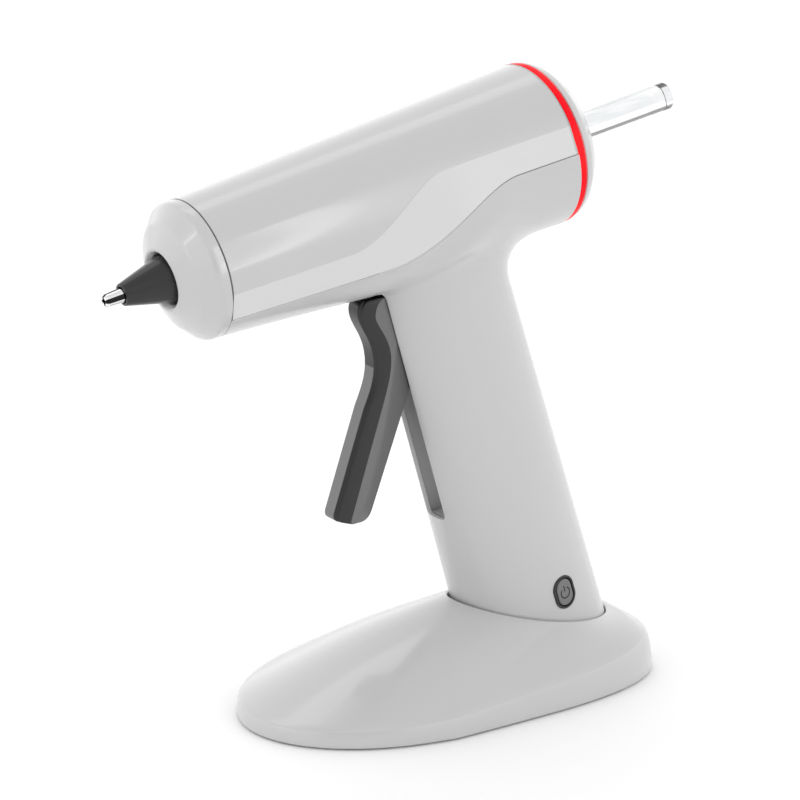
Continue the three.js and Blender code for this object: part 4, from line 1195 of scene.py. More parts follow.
NOSE_CAP = Turned(
    "nose_cap_moulding", "nose_cap",
    [(-56.45, 15.2, 0.1), (-56.45, 17.25, 0.3), (-59.1, 17.2, 2.2), (-62.8, 13.3, 3.5), (-65.8, 7.4, 0.7),
     (-64.4, 6.5, 0.6), (-62.6, 6.5, 0.3), (-61.6, 10.8, 1.0), (-58.5, 15.2, 1.0)],
    Look.WHITE, "white_plastic",
)
LIGHT_RING = Turned(
    "light_ring_lens", "light_ring",
    [(44.5, 17.5, 0.1), (44.5, 20.9, 0.45), (42.82, 20.9, 0.35), (42.82, 17.5, 0.1)],
    Look.RED, "red_lens",
)
REAR_CAP = Turned(
    "rear_cap_moulding", "rear_cap",
    [(52.4, 5.3, 0.8), (52.4, 12.3, 2.4), (49.9, 16.9, 4.0), (46.9, 20.0, 3.0), (44.85, 20.7, 0.35),
     (44.85, 17.7, 0.1), (46.4, 16.6, 0.5), (49.8, 12.6, 0.6), (49.8, 4.1, 0.1), (51.6, 4.1, 0.3)],
    Look.WHITE, "white_plastic",
)
NOZZLE_CONE = Turned(
    "nozzle_cone_sleeve", "nozzle_cone",
    [(-60.0, 4.6, 0.1), (-60.0, 6.15, 0.2), (-63.6, 6.15, 0.6),
     (-76.6, 2.7, 0.35), (-76.6, 2.05, 0.15), (-66.0, 3.0, 0.5)],
    Look.DARK, "dark_plastic",
)
NOZZLE_TIP = Turned(
    "nozzle_tip_plated", "nozzle_tip",
    [(-60.0, 0.6, 0.1), (-60.0, 2.6, 0.3), (-66.0, 2.6, 1.0), (-76.5, 1.85, 0.5), (-80.7, 1.6, 0.3),
     (-81.4, 1.15, 0.25), (-81.4, 0.75, 0.1)],
    Look.CHROME, "chrome",
)
GLUE_STICK = Turned(
    "glue_stick_clear", "glue_stick",
    [(85.3, 0.0, 0.02), (85.3, 3.5, 0.35), (-34.7, 3.5, 0.3), (-34.7, 0.0, 0.02)],
    Look.CLEAR, "clear_glue", "glue_stick",
)


# ---- Trigger --------------------------------------------------------------------------------
@dataclass
class TriggerGrip:
    """The trigger: a dark front with a ribbed edge between two side faces; the side faces and the front's lower
    part are painted lighter as reflected light.
    """

    outer: Sequence[tuple[tuple[float, float], ...]] = (
        ((-8.0, -22.6), (-13.2, -22.6)),
        ((-13.2, -22.6), (-15.9, -23.0), (-15.6, -26.6)),
        ((-15.6, -26.6), (-15.2, -30.0), (-13.2, -32.4), (-13.1, -37.0)),
        ((-13.1, -37.0), (-13.0, -43.0), (-15.6, -46.2), (-18.2, -50.2)),
        ((-18.2, -50.2), (-31.2, -73.8)),
        ((-31.2, -73.8), (-32.0, -75.6), (-30.4, -76.4)),
        ((-30.4, -76.4), (-26.4, -78.1)),
        ((-26.4, -78.1), (-22.6, -79.2), (-20.8, -75.8)),
        ((-20.8, -75.8), (-8.0, -54.2)),
        ((-8.0, -54.2), (-4.6, -48.4), (1.6, -38.0), (2.6, -31.6)),
        ((2.6, -31.6), (3.0, -27.0)),
        ((3.0, -27.0), (2.6, -23.4), (-1.0, -22.6)),
        ((-1.0, -22.6), (-8.0, -22.6)),
    )
    side: Sequence[tuple[tuple[float, float], ...]] = (
        ((-6.0, -23.0), (-7.4, -23.0)),
        ((-7.4, -23.0), (-10.8, -23.2), (-11.6, -27.0)),
        ((-11.6, -27.0), (-11.8, -29.6), (-9.0, -32.4), (-8.9, -37.7)),
        ((-8.9, -37.7), (-9.0, -42.0), (-11.2, -46.0), (-13.5, -50.4)),
        ((-13.5, -50.4), (-27.3, -76.2)),
        ((-27.3, -76.2), (-28.1, -77.7), (-27.2, -77.8)),
        ((-27.2, -77.8), (-25.6, -78.0)),
        ((-25.6, -78.0), (-22.8, -78.6), (-21.2, -75.8)),
        ((-21.2, -75.8), (-8.3, -54.0)),
        ((-8.3, -54.0), (-5.0, -48.4), (1.2, -38.0), (2.2, -31.6)),
        ((2.2, -31.6), (2.6, -27.0)),
        ((2.6, -27.0), (2.2, -23.8), (-1.0, -23.0)),
        ((-1.0, -23.0), (-6.0, -23.0)),
    )
    layers: Sequence[tuple[float, float]] = (
        (0.0, 0.0), (1.9, 0.0), (2.1, 0.01), (2.28, 0.06), (2.4, 0.16), (2.55, 0.205), (2.66, 0.205),
        (2.74, 0.185), (2.84, 0.2), (2.95, 0.27), (3.15, 0.4), (3.35, 0.55), (3.5, 0.7), (3.62, 0.85),
        (3.7, 0.95), (3.72, 1.0),
    )

    def build(self) -> bpy.types.Object:
        """Lofts the trigger from side to side."""
        out, side = traced(self.outer), traced(self.side)
        half = [(-y, s) for y, s in reversed(self.layers)] + list(self.layers[1:])
        sections = []
        for y, share in half:
            flat = out.points + share * (side.points - out.points)
            sections.append(np.column_stack([flat[:, 0], np.full(len(flat), y), flat[:, 1]]))
        stack = np.stack(sections)
        around = np.roll(stack, -1, 1) - np.roll(stack, 1, 1)
        across = np.gradient(stack, axis=0)
        normals = unit(np.cross(across, around))
        outward = np.stack([out.normals[:, 0], np.zeros(len(out.normals)), out.normals[:, 1]], -1)
        if (normals[len(half) // 2] * outward).sum() < 0:
            normals = -normals
        # the two end caps, which are the side faces, take the painted reflection finish
        bands = [0] * (len(half) - 1) + [1, 1]
        grip = loft(list(stack), list(normals), bands)
        # painted reflection: the front's lower middle takes the lighter finish as well
        middle = np.array([grip.points[list(face)].mean(0) for face in grip.faces])
        front = (np.abs(middle[:, 1]) < 2.0) & (middle[:, 2] < -41.0)
        grip.finish = [max(own, int(lit)) for own, lit in zip(grip.finish, front)]
        arm = self.arm()
        piece = make_piece("trigger_grip", joined(grip, arm).placed(GUN), Look.DARK.made, Look.FACE.made)
        return settle(piece, "trigger", "dark_plastic", "trigger")

    def arm(self) -> Patch:
        """Makes the arm that works the feed, out of sight in the barrel."""
        lean = Placement((PIVOT[0], 0.0, PIVOT[2]), -math.radians(9.0))
        line = rounded([(-1.7, 3.5, 0.2), (1.7, 3.5, 0.2), (2.1, 17.0, 2.0), (-2.1, 17.0, 2.0)], 6)
        flat = np.column_stack([line.normals[:, 0], np.zeros(len(line.normals)), line.normals[:, 1]])
        across, up = line.points.T
        sides = [np.column_stack([across, np.full(len(up), y), up]) for y in (-2.6, 2.6)]
        return loft(sides, [flat, flat]).placed(lean)


# ---- Power button ---------------------------------------------------------------------------
@dataclass
class PowerButton:
    """The oval key in its rim on the handle's side, in a frame whose Z points out of the handle."""

    x: float = 3.9
    z: float = -115.7
    rim: tuple[float, float] = (6.8, 9.2)
    key: tuple[float, float] = (4.9, 7.3)
    mark_radius: float = 1.45
    stroke: float = 0.36

    def out(self, patch: Patch) -> Patch:
        """Moves a patch from the button's frame (x, up, out) to the model's."""
        surface = GRIP
        depth = surface.depth - surface.taper * self.z
        probe = np.linspace(0, depth, 4000)
        level = surface.distance(np.stack([np.full(4000, self.x), -probe, np.full(4000, self.z)], -1))
        y = -float(probe[np.argmax(level > 0)])
        angle = math.atan2(self.x / depth**2, -y / (depth * surface.aspect) ** 2)
        right = np.array([math.cos(angle), math.sin(angle), 0.0])
        ahead = np.array([math.sin(angle), -math.cos(angle), 0.0])
        basis = np.stack([right, [0.0, 0.0, 1.0], ahead])
        points = patch.points @ basis + np.array([self.x, y, self.z])
        return Patch(points, patch.normals @ basis, patch.faces, patch.finish).placed(HANDLE)

    def ring(self, width: float, height: float, lift: float, tilt: float) -> tuple[Array, Array]:
        """Makes one stadium section, its normals tilted towards the front by an angle in degrees."""
        w, h, r = width / 2, height / 2, width / 2 - 0.01
        line = rounded([(w, -h, r), (w, h, r), (-w, h, r), (-w, -h, r)], 12)
        c, s = math.cos(math.radians(tilt)), math.sin(math.radians(tilt))
        count = len(line.points)
        points = np.column_stack([line.points, np.full(count, lift)])
        return points, np.column_stack([line.normals * c, np.full(count, s)])

    def bezel(self) -> Patch:
        """Makes the dark rim."""
        w, h = self.rim
        rows = [
            (w, h, -1.5, 0), (w, h, 0.0, 0), (w - 0.1, h - 0.1, 0.14, 45), (w - 0.3, h - 0.3, 0.2, 90),
            (w - 0.9, h - 0.9, 0.2, 90), (w - 1.15, h - 1.15, 0.14, 135), (w - 1.3, h - 1.3, 0.0, 180),
            (w - 1.3, h - 1.3, -1.5, 180),
        ]
        made = [self.ring(*row) for row in rows]
        return grid(np.stack([m[0] for m in made]), np.stack([m[1] for m in made]), True, True)

    def face(self) -> Patch:
        """Makes the key."""
        w, h = self.key
        rows = [
            (w, h, -1.4, 0), (w, h, -0.05, 0), (w - 0.08, h - 0.08, 0.1, 30), (w - 0.22, h - 0.22, 0.2, 60),
            (w - 0.5, h - 0.5, 0.25, 90), (w - 1.0, h - 1.0, 0.25, 90),
        ]
        made = [self.ring(*row) for row in rows]
        return loft([m[0] for m in made], [m[1] for m in made])

    def mark(self) -> Patch:
        """Makes the power symbol: an open ring and a bar."""
        inner, outer = self.mark_radius - self.stroke / 2, self.mark_radius + self.stroke / 2
        sweep = np.radians(np.linspace(125, 415, 49))
        arc = [(outer * math.cos(a), outer * math.sin(a)) for a in sweep]
        arc += [(inner * math.cos(a), inner * math.sin(a)) for a in sweep[::-1]]
        half = self.stroke / 2
        bar = [(-half, 0.35), (half, 0.35), (half, 2.05), (-half, 2.05)]
        patches = []
        for shape in (arc, bar):
            flat = np.array(shape) - (0.0, 0.1)
            low = np.column_stack([flat, np.full(len(flat), 0.23)])
            high = np.column_stack([flat, np.full(len(flat), 0.275)])
            up = np.tile([0.0, 0.0, 1.0], (len(flat), 1))
            patches.append(loft([low, high], [-up, up]))
        return joined(*patches)

    def build(self) -> None:
        """Makes the rim, the key and its symbol."""
        settle(
            make_piece("button_rim", self.out(self.bezel()), Look.DARK.made),
            "gun", "dark_plastic", "button_bezel",
        )
        settle(
            make_piece("button_key", self.out(self.face()), Look.KEY.made),
            "power_button", "dark_plastic", "power_button",
        )
        symbol = make_piece("button_symbol", self.out(self.mark()), Look.SYMBOL.made)
        settle(symbol, "power_button", "dark_plastic")


# ---- Holder ---------------------------------------------------------------------------------
@dataclass
class Holder:
    """The weighted holder's shell, in its own frame (X rearwards, the table at 0)."""

    waist: float = 5.0
    front: float = 47.0
    rear: float = 67.0
    half: float = 32.8
    squareness: float = 3.5
    skirt: float = 0.5
    front_edge: float = 5.0
    rise: float = 7.5
    lean: float = 1.2
    rear_lean: float = 3.2
    crown: float = 0.12
    rim: float = 17.0
    rim_slope: float = 5.3
    rim_bow: float = 0.6
    floor: float = 6.05
    socket: tuple[float, float] = (20.45, 14.75)
    columns: int = 192
    underside: Sequence[tuple[float, float]] = (
        (8.0, 3.2), (2.9, 3.2), (2.4, 2.9), (2.3, 0.6), (2.2, 0.5), (0.5, 0.5), (0.15, 0.6), (0.03, 0.8),
    )

    def outline(self, angle: Array, inset: Array | float) -> tuple[Array, Array]:
        """Draws the holder's outline, drawn in by an inset."""
        c, s = np.cos(angle), np.sin(angle)
        half = self.half - inset
        n = 2 / self.squareness
        front = (self.waist + (self.front - inset) * c, half * s)
        rear = (
            self.waist + (self.rear - inset) * np.sign(c) * np.abs(c) ** n,
            half * np.sign(s) * np.abs(s) ** n,
        )
        share = smooth(-0.25, 0.25, c)
        return front[0] + share * (rear[0] - front[0]), front[1] + share * (rear[1] - front[1])

    def edge(self, x: Array) -> Array:
        """Height of the shoulder."""
        along = np.maximum((x - self.waist + self.front) / (self.front + self.rear), 0)
        return self.front_edge + self.rise * along**1.6

    def axis(self, z: Array | float) -> Array:
        """X of the handle's axis at a height."""
        lean = HANDLE.lean
        start = GUN.out((HANDLE_X, 0.0, 0.0)) - np.array([STAND_X, 0.0, 0.0])
        return start[0] + (start[2] - z) * math.tan(lean)

    def wall(self, angle: Array, share: Array) -> Array:
        """Points of the side wall, from the skirt's foot (0) to the shoulder (1)."""
        lean = self.lean + self.rear_lean * np.maximum(np.cos(angle), 0) ** 2
        x, y = self.outline(angle, lean * share**2)
        z = self.skirt + (self.edge(x) - self.skirt) * np.sin(share * np.pi / 2)
        return np.stack([x, y, z], -1)

    def mouth(self, angle: Array, grow: float = 0.0, drop: float = 0.0) -> Array:
        """Points of the socket's mouth."""
        z = self.rim - self.rim_slope * np.cos(angle) + self.rim_bow * np.cos(2 * angle) - drop
        depth = (self.socket[0] + grow) / math.cos(HANDLE.lean)
        side = (self.socket[1] + grow) * np.sin(angle)
        return np.stack([self.axis(z) + depth * np.cos(angle), side, z], -1)

    def crest(self, angle: Array, share: float) -> Array:
        """Points of the crown, from the shoulder (0) to the socket's mouth (1)."""
        low, high = self.wall(angle, np.ones_like(angle)), self.mouth(angle, 0.55)
        made = low + share * (high - low)
        lift = share + self.crown * math.sin(math.pi * share)
        made[:, 2] = low[:, 2] + lift * (high[:, 2] - low[:, 2])
        return made

    def rows(self) -> list[Array]:
        """Lists the shell's rings from the middle of its underside to the socket's floor."""
        angle = 2 * np.pi * np.arange(self.columns) / self.columns
        one = np.ones_like(angle)
        rows = [np.stack([*self.outline(angle, inset), z * one], -1) for inset, z in self.underside]
        soft = 0.16 + 0.22 * np.maximum(np.cos(angle), 0)
        low = [self.wall(angle, one * s) for s in np.linspace(0.12, 0.45, 9)]
        rows += low
        start = 0.45 * one
        corner = self.wall(angle, one)
        ahead = self.crest(angle, 0.5)
        distance = np.linalg.norm(ahead - corner, axis=1)
        reach = (2.2 + 3.6 * smooth(0.2, 1.0, np.cos(angle))) / distance * 0.5
        reach = np.minimum(reach, 0.42)
        begin = self.wall(angle, 1 - np.maximum(soft, 0.3) * 1.0)
        for s in np.linspace(0.2, 0.9, 4):
            share = start + s * ((1 - np.maximum(soft, 0.3)) - start)
            rows.append(self.wall(angle, share))
        end = np.stack([self.crest(angle[i : i + 1], float(reach[i]))[0] for i in range(self.columns)])
        for t in np.linspace(0, 1, 14):
            rows.append((1 - t) ** 2 * begin + 2 * t * (1 - t) * corner + t**2 * end)
        for t in np.linspace(0.04, 1, 22):
            at = reach + t * (1 - reach)
            ring = [self.crest(angle[i : i + 1], float(at[i]))[0] for i in range(self.columns)]
            rows.append(np.stack(ring))
        rows.append(self.mouth(angle, 0.25, 0.12))
        rows.append(self.mouth(angle, 0.05, 0.35))
        rows.append(self.mouth(angle, 0.0, 0.7))
        top = self.mouth(angle, 0.0, 0.7)
        for t in (0.25, 0.5, 0.75, 0.97):
            z = top[:, 2] + t * (self.floor - top[:, 2])
            x = self.axis(z) + self.socket[0] / math.cos(HANDLE.lean) * np.cos(angle)
            rows.append(np.stack([x, self.socket[1] * np.sin(angle), z], -1))
        for grow in (-0.4, -4.0):
            depth, width = self.socket[0] + grow, self.socket[1] + grow
            x = self.axis(self.floor) + depth / math.cos(HANDLE.lean) * np.cos(angle)
            rows.append(np.stack([x, width * np.sin(angle), self.floor * one], -1))
        return rows

    def build(self) -> bpy.types.Object:
        """Makes the shell."""
        stack = np.stack(self.rows())
        around = np.roll(stack, -1, 1) - np.roll(stack, 1, 1)
        along = np.gradient(stack, axis=0)
        normals = unit(np.cross(around, along))
        own = Placement((STAND_X, 0.0, 0.0), 0.0)
        shell = loft(list(stack), list(normals)).placed(own)
        piece = make_piece("holder_shell", shell, Look.WHITE.made)
        return settle(piece, "stand", "white_plastic", "stand_shell")


# ---- Repeated and wound pieces, by Geometry Nodes ---------------------------------------------
@dataclass(frozen=True)
class Knob:
    """A named size of a Geometry Nodes tree."""

    name: str
    value: float


class Generator:
    """A Geometry Nodes tree whose sizes are named inputs."""

    def __init__(self, name: str, knobs: Sequence[Knob], look: Look) -> None:
        """Makes an empty tree with its inputs.

        Args:
            name: the tree's name.
            knobs: its sizes, in metres or counts.
            look: finish of what it makes.
        """
        self.group = bpy.data.node_groups.new(name, "GeometryNodeTree")
        self.tree = Tree(self.group)
        self.look, self.knobs = look, knobs
        face = self.group.interface
        face.new_socket("Geometry", in_out="INPUT", socket_type="NodeSocketGeometry")
        self.sockets = {}
        for knob in knobs:
            made = face.new_socket(knob.name, in_out="INPUT", socket_type="NodeSocketFloat")
            self.sockets[knob.name] = made.identifier
        face.new_socket("Geometry", in_out="OUTPUT", socket_type="NodeSocketGeometry")
        self.start = self.tree.node("NodeGroupInput")

    def size(self, name: str) -> Value:
        """Gives a named input."""
        return Value(self.tree, self.start.outputs[name])

    @property
    def places(self) -> Value:
        """Gives the points that the pieces are put on."""
        return Value(self.tree, self.start.outputs[0])

    def cylinder(self, radius: Value, depth: Value, rise: Value, sides: int = 40) -> Value:
        """Adds a cylinder whose middle is raised."""
        inputs = {"Vertices": sides, "Radius": radius, "Depth": depth}
        made = self.tree.add("GeometryNodeMeshCylinder", {}, inputs)
        return self.moved(made, rise)

    def moved(self, shape: Value, rise: Value) -> Value:
        """Raises a shape."""
        up = self.tree.add("ShaderNodeCombineXYZ", {}, {2: rise})
        return self.tree.add("GeometryNodeTransform", {}, {"Geometry": shape, "Translation": up})

    def joined(self, *shapes: Value) -> Value:
        """Joins shapes."""
        node = self.tree.node("GeometryNodeJoinGeometry")
        for shape in shapes:
            self.tree.tree.links.new(shape.socket, node.inputs[0])
        return Value(self.tree, node.outputs[0])

    def without(self, shape: Value, *cuts: Value) -> Value:
        """Cuts shapes out of another."""
        node = self.tree.node("GeometryNodeMeshBoolean", {"operation": "DIFFERENCE"})
        self.tree.tree.links.new(shape.socket, node.inputs[0])
        for cut in cuts:
            self.tree.tree.links.new(cut.socket, node.inputs[1])
        return Value(self.tree, node.outputs[0])

    def finish(self, shape: Value) -> None:
        """Realizes the result and gives it its material."""
        real = self.tree.add("GeometryNodeRealizeInstances", {}, {0: shape})
        painted = self.tree.add("GeometryNodeSetMaterial", {}, {"Geometry": real, "Material": self.look.made})
        self.tree.node("NodeGroupOutput", {}, {0: painted})

    def make(self, name: str, places: Array, turn: Placement = ROW) -> bpy.types.Object:
        """Runs the tree on a few points and turns the result into a plain mesh.

        Args:
            name: the piece's name.
            places: one point for each copy, in millimetres in the piece's frame.
            turn: the piece's frame.

        Returns:
            The linked object, at the origin.
        """
        seeds = bpy.data.meshes.new(name + "_places")
        seeds.from_pydata((np.asarray(places, float) * MM).tolist(), [], [])
        holder = bpy.data.objects.new(name + "_places", seeds)
        bpy.context.scene.collection.objects.link(holder)
        modifier = holder.modifiers.new("make", "NODES")
        modifier.node_group = self.group
        for knob in self.knobs:
            modifier[self.sockets[knob.name]] = knob.value
        bpy.context.view_layer.update()
        live = holder.evaluated_get(bpy.context.evaluated_depsgraph_get())
        mesh = bpy.data.meshes.new_from_object(live)
        holder.modifiers.remove(modifier)
        bpy.data.objects.remove(holder)
        points = np.empty(len(mesh.vertices) * 3)
        mesh.vertices.foreach_get("co", points)
        moved = turn.out(points.reshape(-1, 3) / MM) * MM
        mesh.vertices.foreach_set("co", moved.ravel())
        mesh.update()
        mesh.name = name
        piece = bpy.data.objects.new(name, mesh)
        bpy.context.scene.collection.objects.link(piece)
        return piece


@dataclass(frozen=True)
class ScrewSizes:
    """Sizes of a cross-head screw that points up, in metres, from the face of its head."""

    head: float = 2.2 * MM
    head_height: float = 1.3 * MM
    shank: float = 1.05 * MM
    length: float = 7.0 * MM
    slot: float = 0.55 * MM
    slot_length: float = 2.4 * MM
    slot_depth: float = 0.7 * MM

    def generator(self, name: str) -> Generator:
        """Builds the tree that puts a screw on each point."""
        knobs = [
            Knob("Head radius", self.head), Knob("Head height", self.head_height),
            Knob("Shank radius", self.shank), Knob("Length", self.length),
            Knob("Recess width", self.slot), Knob("Recess length", self.slot_length),
            Knob("Recess depth", self.slot_depth),
        ]
        made = Generator(name, knobs, Look.STEEL)
        tree = made.tree
        height = made.size("Head height")
        head = made.cylinder(made.size("Head radius"), height, height * 0.5, 36)
        length = made.size("Length")
        shank = made.cylinder(made.size("Shank radius"), length, length * 0.5 + height * 0.9, 20)
        turns = made.size("Length") * 0.8
        thread = tree.add(
            "GeometryNodeCurveSpiral", {},
            {"Resolution": 14, "Rotations": 7.0, "Start Radius": made.size("Shank radius"),
             "End Radius": made.size("Shank radius"), "Height": turns},
        )
        ridge = tree.add("GeometryNodeCurvePrimitiveCircle", {}, {"Resolution": 6, "Radius": 0.16 * MM})
        winding = {"Curve": thread, "Profile Curve": ridge, "Fill Caps": True}
        wound = tree.add("GeometryNodeCurveToMesh", {}, winding)
        wound = made.moved(wound, height * 1.1)
        cuts = []
        for first in (True, False):
            sides = (made.size("Recess length"), made.size("Recess width"))
            place = {0: sides[0] if first else sides[1], 1: sides[1] if first else sides[0]}
            box = tree.add("ShaderNodeCombineXYZ", {}, {**place, 2: made.size("Recess depth") * 2.0})
            cuts.append(tree.add("GeometryNodeMeshCube", {}, {"Size": box}))
        solid = made.joined(made.without(head, *cuts), shank, wound)
        made.finish(tree.add("GeometryNodeInstanceOnPoints", {}, {"Points": made.places, "Instance": solid}))
        return made


@dataclass(frozen=True)
class PadSizes:
    """Sizes of a ribbed rubber foot, in metres."""

    radius: float = 4.95 * MM
    height: float = 0.8 * MM
    rib: float = 0.12 * MM

    def generator(self) -> Generator:
        """Builds the tree that puts a foot on each point."""
        knobs = [Knob("Radius", self.radius), Knob("Height", self.height), Knob("Rib", self.rib)]
        made = Generator("foot_pads_tree", knobs, Look.RUBBER)
        tree = made.tree
        narrow, height = made.size("Radius") - made.size("Rib"), made.size("Height")
        body = made.cylinder(narrow, height, height * 0.5, 48)
        rings = []
        for level, share in ((0.25, 1.0), (0.75, 1.0)):
            path = tree.add(
                "GeometryNodeCurvePrimitiveCircle", {}, {"Resolution": 48, "Radius": narrow}
            )
            thread = {"Resolution": 8, "Radius": made.size("Rib")}
            section = tree.add("GeometryNodeCurvePrimitiveCircle", {}, thread)
            ring = tree.add("GeometryNodeCurveToMesh", {}, {"Curve": path, "Profile Curve": section})
            rings.append(made.moved(ring, made.size("Height") * (level * share)))
        pad = made.joined(body, *rings)
        made.finish(tree.add("GeometryNodeInstanceOnPoints", {}, {"Points": made.places, "Instance": pad}))
        return made


@dataclass(frozen=True)
class SpringSizes:
    """Sizes of the trigger's return spring, in metres, wound along Z."""

    radius: float = 2.0 * MM
    wire: float = 0.36 * MM
    length: float = 9.0 * MM
    turns: float = 4.0

    def generator(self) -> Generator:
        """Builds the tree that winds the spring."""
        knobs = [
            Knob("Radius", self.radius), Knob("Wire", self.wire),
            Knob("Length", self.length), Knob("Turns", self.turns),
        ]
        made = Generator("trigger_spring_tree", knobs, Look.STEEL)
        tree = made.tree
        path = tree.add(
            "GeometryNodeCurveSpiral", {},
            {"Resolution": 24, "Rotations": made.size("Turns"), "Start Radius": made.size("Radius"),
             "End Radius": made.size("Radius"), "Height": made.size("Length")},
        )
        wire = {"Resolution": 10, "Radius": made.size("Wire")}
        section = tree.add("GeometryNodeCurvePrimitiveCircle", {}, wire)
        winding = {"Curve": path, "Profile Curve": section, "Fill Caps": True}
        wound = tree.add("GeometryNodeCurveToMesh", {}, winding)
        made.finish(wound)
        return made


@dataclass
class Hardware:
    """Screws, pads and the spring."""

    def centres(self, stem: str, count: int) -> list[tuple[float, float]]:
        """Finds the middles of numbered plain nodes, seen from above, in millimetres."""
        made = []
        for i in range(1, count + 1):
            low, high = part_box(f"{stem}_{i}")
            made.append(((low.x + high.x) / 2 / MM, (low.y + high.y) / 2 / MM))
        return made

    def build(self) -> None:
        """Makes them all."""
        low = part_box("stand_screw_1")[0].z / MM
        places = [(x, y, low) for x, y in self.centres("stand_screw", 5)]
        screws = ScrewSizes().generator("stand_screws_tree").make("holder_screws", places)
        settle(screws, "stand", "steel", *[f"stand_screw_{i}" for i in range(1, 6)])
        places = [(x, y, 0.0) for x, y in self.centres("stand_foot_pad", 4)]
        pads = PadSizes().generator().make("holder_pads", places)
        settle(pads, "stand", "rubber", *[f"stand_foot_pad_{i}" for i in range(1, 5)])
        self.foot_screws()
        self.spring()

    def foot_screws(self) -> None:
        """Makes the two screws under the handle, along the handle's line."""
        upright = Placement(HANDLE.origin, HANDLE.lean)
        places = []
        for i in (1, 2):
            low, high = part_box(f"foot_screw_{i}")
            middle = upright.into(np.array([(low.x + high.x) / 2, 0.0, (low.z + high.z) / 2]) / MM)
            reach = 0.8 + 7.0
            places.append((middle[0], 0.0, middle[2] - reach / 2))
        screws = ScrewSizes().generator("foot_screws_tree").make("handle_foot_screws", places, upright)
        settle(screws, "gun", "steel", "foot_screw_1", "foot_screw_2")

    def spring(self) -> None:
        """Makes the spring between the trigger's back and its seat."""
        low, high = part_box("trigger_spring")
        ends = GUN.into(np.array([[low.x, 0, (low.z + high.z) / 2], [high.x, 0, (low.z + high.z) / 2]]) / MM)
        sizes = SpringSizes(length=9.3 * MM)
        upright = Placement(tuple(GUN.out((PIVOT[0] - 1.5, 0.0, PIVOT[2] - 18.0))), GUN.lean - math.pi / 2)
        piece = sizes.generator().make("trigger_return_spring", [(0.0, 0.0, 0.0)], upright)
        settle(piece, "gun", "steel", "trigger_spring")
        seat = Vector(tuple(GUN.out((ends[1][0], 0.0, PIVOT[2] - 18.0)) * MM))
        tuple(GUN.turn((1.0, 0.0, 0.0)))
        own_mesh(piece)


# ---- Plain nodes that keep their shape --------------------------------------------------------
def finish_plain_nodes() -> None:
    """Gives each node that still shows the finish of its material slot."""
    looks = {look.value.name: look for look in Look}
    for part in frame["record"]["subparts"]:
        node = frame["nodes"][part["node"]]
        if node.hide_render:
            continue
        node.data.materials.clear()
        node.data.materials.append(looks[part["material_slot"]].made)
        log.info("%s keeps its shape, finish %s", node.name, part["material_slot"])


# ---- Studio -----------------------------------------------------------------------------------
@dataclass(frozen=True)
class Softbox:
    """A square lamp that looks at the object.

    Attributes:
        name: of the lamp.
        azimuth: degrees round from the view along +Y.
        elevation: degrees above the floor.
        distance: from the middle, in metres.
        size: side, in metres.
        power: watts.
    """

    name: str
    azimuth: float
    elevation: float
    distance: float
    size: tuple[float, float]
    power: float

    def hang(self, target: Vector) -> None:
        """Puts up the lamp."""
        lamp = bpy.data.lights.new(self.name, "AREA")
        lamp.shape = "RECTANGLE"
        lamp.size, lamp.size_y = self.size
        lamp.energy = self.power
        holder = bpy.data.objects.new(self.name, lamp)
        back = direction(self.azimuth, self.elevation)
        holder.location = target + back * self.distance
        holder.rotation_mode = "QUATERNION"
        holder.rotation_quaternion = (-back).to_track_quat("-Z", "Y")
        bpy.context.scene.collection.objects.link(holder)


def direction(azimuth: float, elevation: float) -> Vector:
    """Points from the middle towards a place round it."""
    a, e = math.radians(azimuth), math.radians(elevation)
    return Vector((math.sin(a) * math.cos(e), -math.cos(a) * math.cos(e), math.sin(e)))


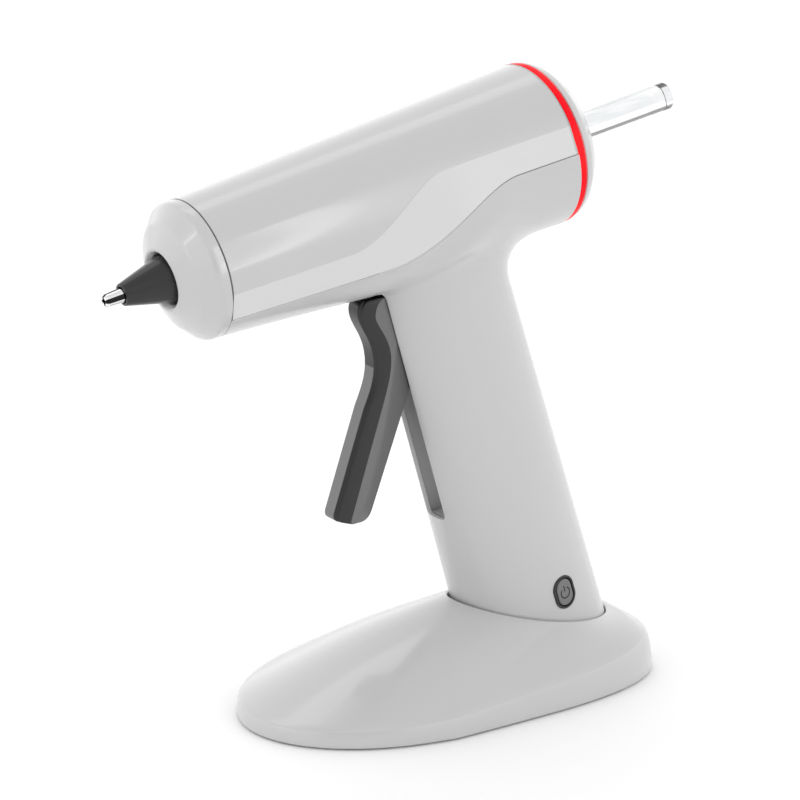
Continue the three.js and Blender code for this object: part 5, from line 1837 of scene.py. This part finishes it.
@dataclass
class Studio:
    """Floor, light and camera."""

    target: tuple[float, float, float] = (-0.0085597, -0.0140106, 0.0846633)
    azimuth: float = -33.447
    elevation: float = 17.858
    distance: float = 0.879861
    lens: float = 162.0
    floor_size: float = 6.0
    horizon: float = 1.5
    zenith: float = 0.86
    flag: float = 0.8
    lamps: Sequence[Softbox] = (
        Softbox("overhead", 160.0, 62.0, 1.2, (1.2, 0.3), 1.3),
        Softbox("left_front", -95.0, 25.0, 1.2, (0.045, 0.9), 0.8),
        Softbox("right_front", 20.0, 25.0, 1.2, (0.04, 0.9), 0.7),
    )

    def floor(self) -> None:
        """Lays a plain pale floor."""
        half = self.floor_size / 2
        mesh = bpy.data.meshes.new("floor")
        corners = [(-half, -half, 0), (half, -half, 0), (half, half, 0), (-half, half, 0)]
        mesh.from_pydata(corners, [], [(0, 1, 2, 3)])
        mesh.materials.append(Finish("pale_floor", (0.97, 0.97, 0.97), 0.7, mottle=0.0).material())
        piece = bpy.data.objects.new("floor", mesh)
        bpy.context.scene.collection.objects.link(piece)

    def light(self) -> None:
        """Sets the sky, plain white behind the object, and hangs the lamps.

        The sky is brighter low down, and a dark flag stands in it on the camera's side.
        """
        world = bpy.data.worlds.new("studio")
        bpy.context.scene.world = world
        world.use_nodes = True
        tree = Tree(world.node_tree)
        seen = tree.add("ShaderNodeLightPath", output="Is Camera Ray")
        place = tree.add("ShaderNodeTexCoord", output="Generated")
        parts = tree.node("ShaderNodeSeparateXYZ", {}, {0: place}).outputs
        back = direction(self.azimuth, 0.0)
        level = Value(tree, parts[2]).ease(0.0, 1.0, self.horizon, self.zenith)
        facing = Value(tree, parts[0]) * back.x + Value(tree, parts[1]) * back.y
        sky = level * facing.ease(0.8, 0.97, 1.0, 1.0 - self.flag)
        strength = sky + seen * (1.0 - sky)
        sky = tree.add("ShaderNodeBackground", {}, {"Color": (1.0, 1.0, 1.0, 1.0), "Strength": strength})
        tree.node("ShaderNodeOutputWorld", {}, {"Surface": sky})
        for lamp in self.lamps:
            lamp.hang(Vector(self.target))

    def camera(self) -> None:
        """Sets the camera."""
        lens = bpy.data.cameras.new("camera")
        lens.lens, lens.sensor_width = self.lens, 36.0
        holder = bpy.data.objects.new("camera", lens)
        back = direction(self.azimuth, self.elevation)
        holder.location = Vector(self.target) + back * self.distance
        holder.rotation_mode = "QUATERNION"
        holder.rotation_quaternion = (-back).to_track_quat("-Z", "Y")
        bpy.context.scene.collection.objects.link(holder)
        bpy.context.scene.camera = holder

    def build(self) -> None:
        """Sets up the whole studio."""
        self.floor()
        self.light()
        self.camera()
        bpy.context.scene.view_settings.view_transform = "Standard"


def main() -> None:
    """Builds every piece, the plain nodes' finishes and the studio."""
    logging.basicConfig(level=logging.INFO, format="%(message)s")
    shell = BodyShell()
    shell.build()
    TriggerWell(shell).build()
    TopCover().build()
    for piece in (NOSE_CAP, LIGHT_RING, REAR_CAP, NOZZLE_CONE, NOZZLE_TIP, GLUE_STICK):
        piece.build()
    TriggerGrip().build()
    PowerButton().build()
    Holder().build()
    Hardware().build()
    finish_plain_nodes()
    Studio().build()


if __name__ == "__main__":
    main()
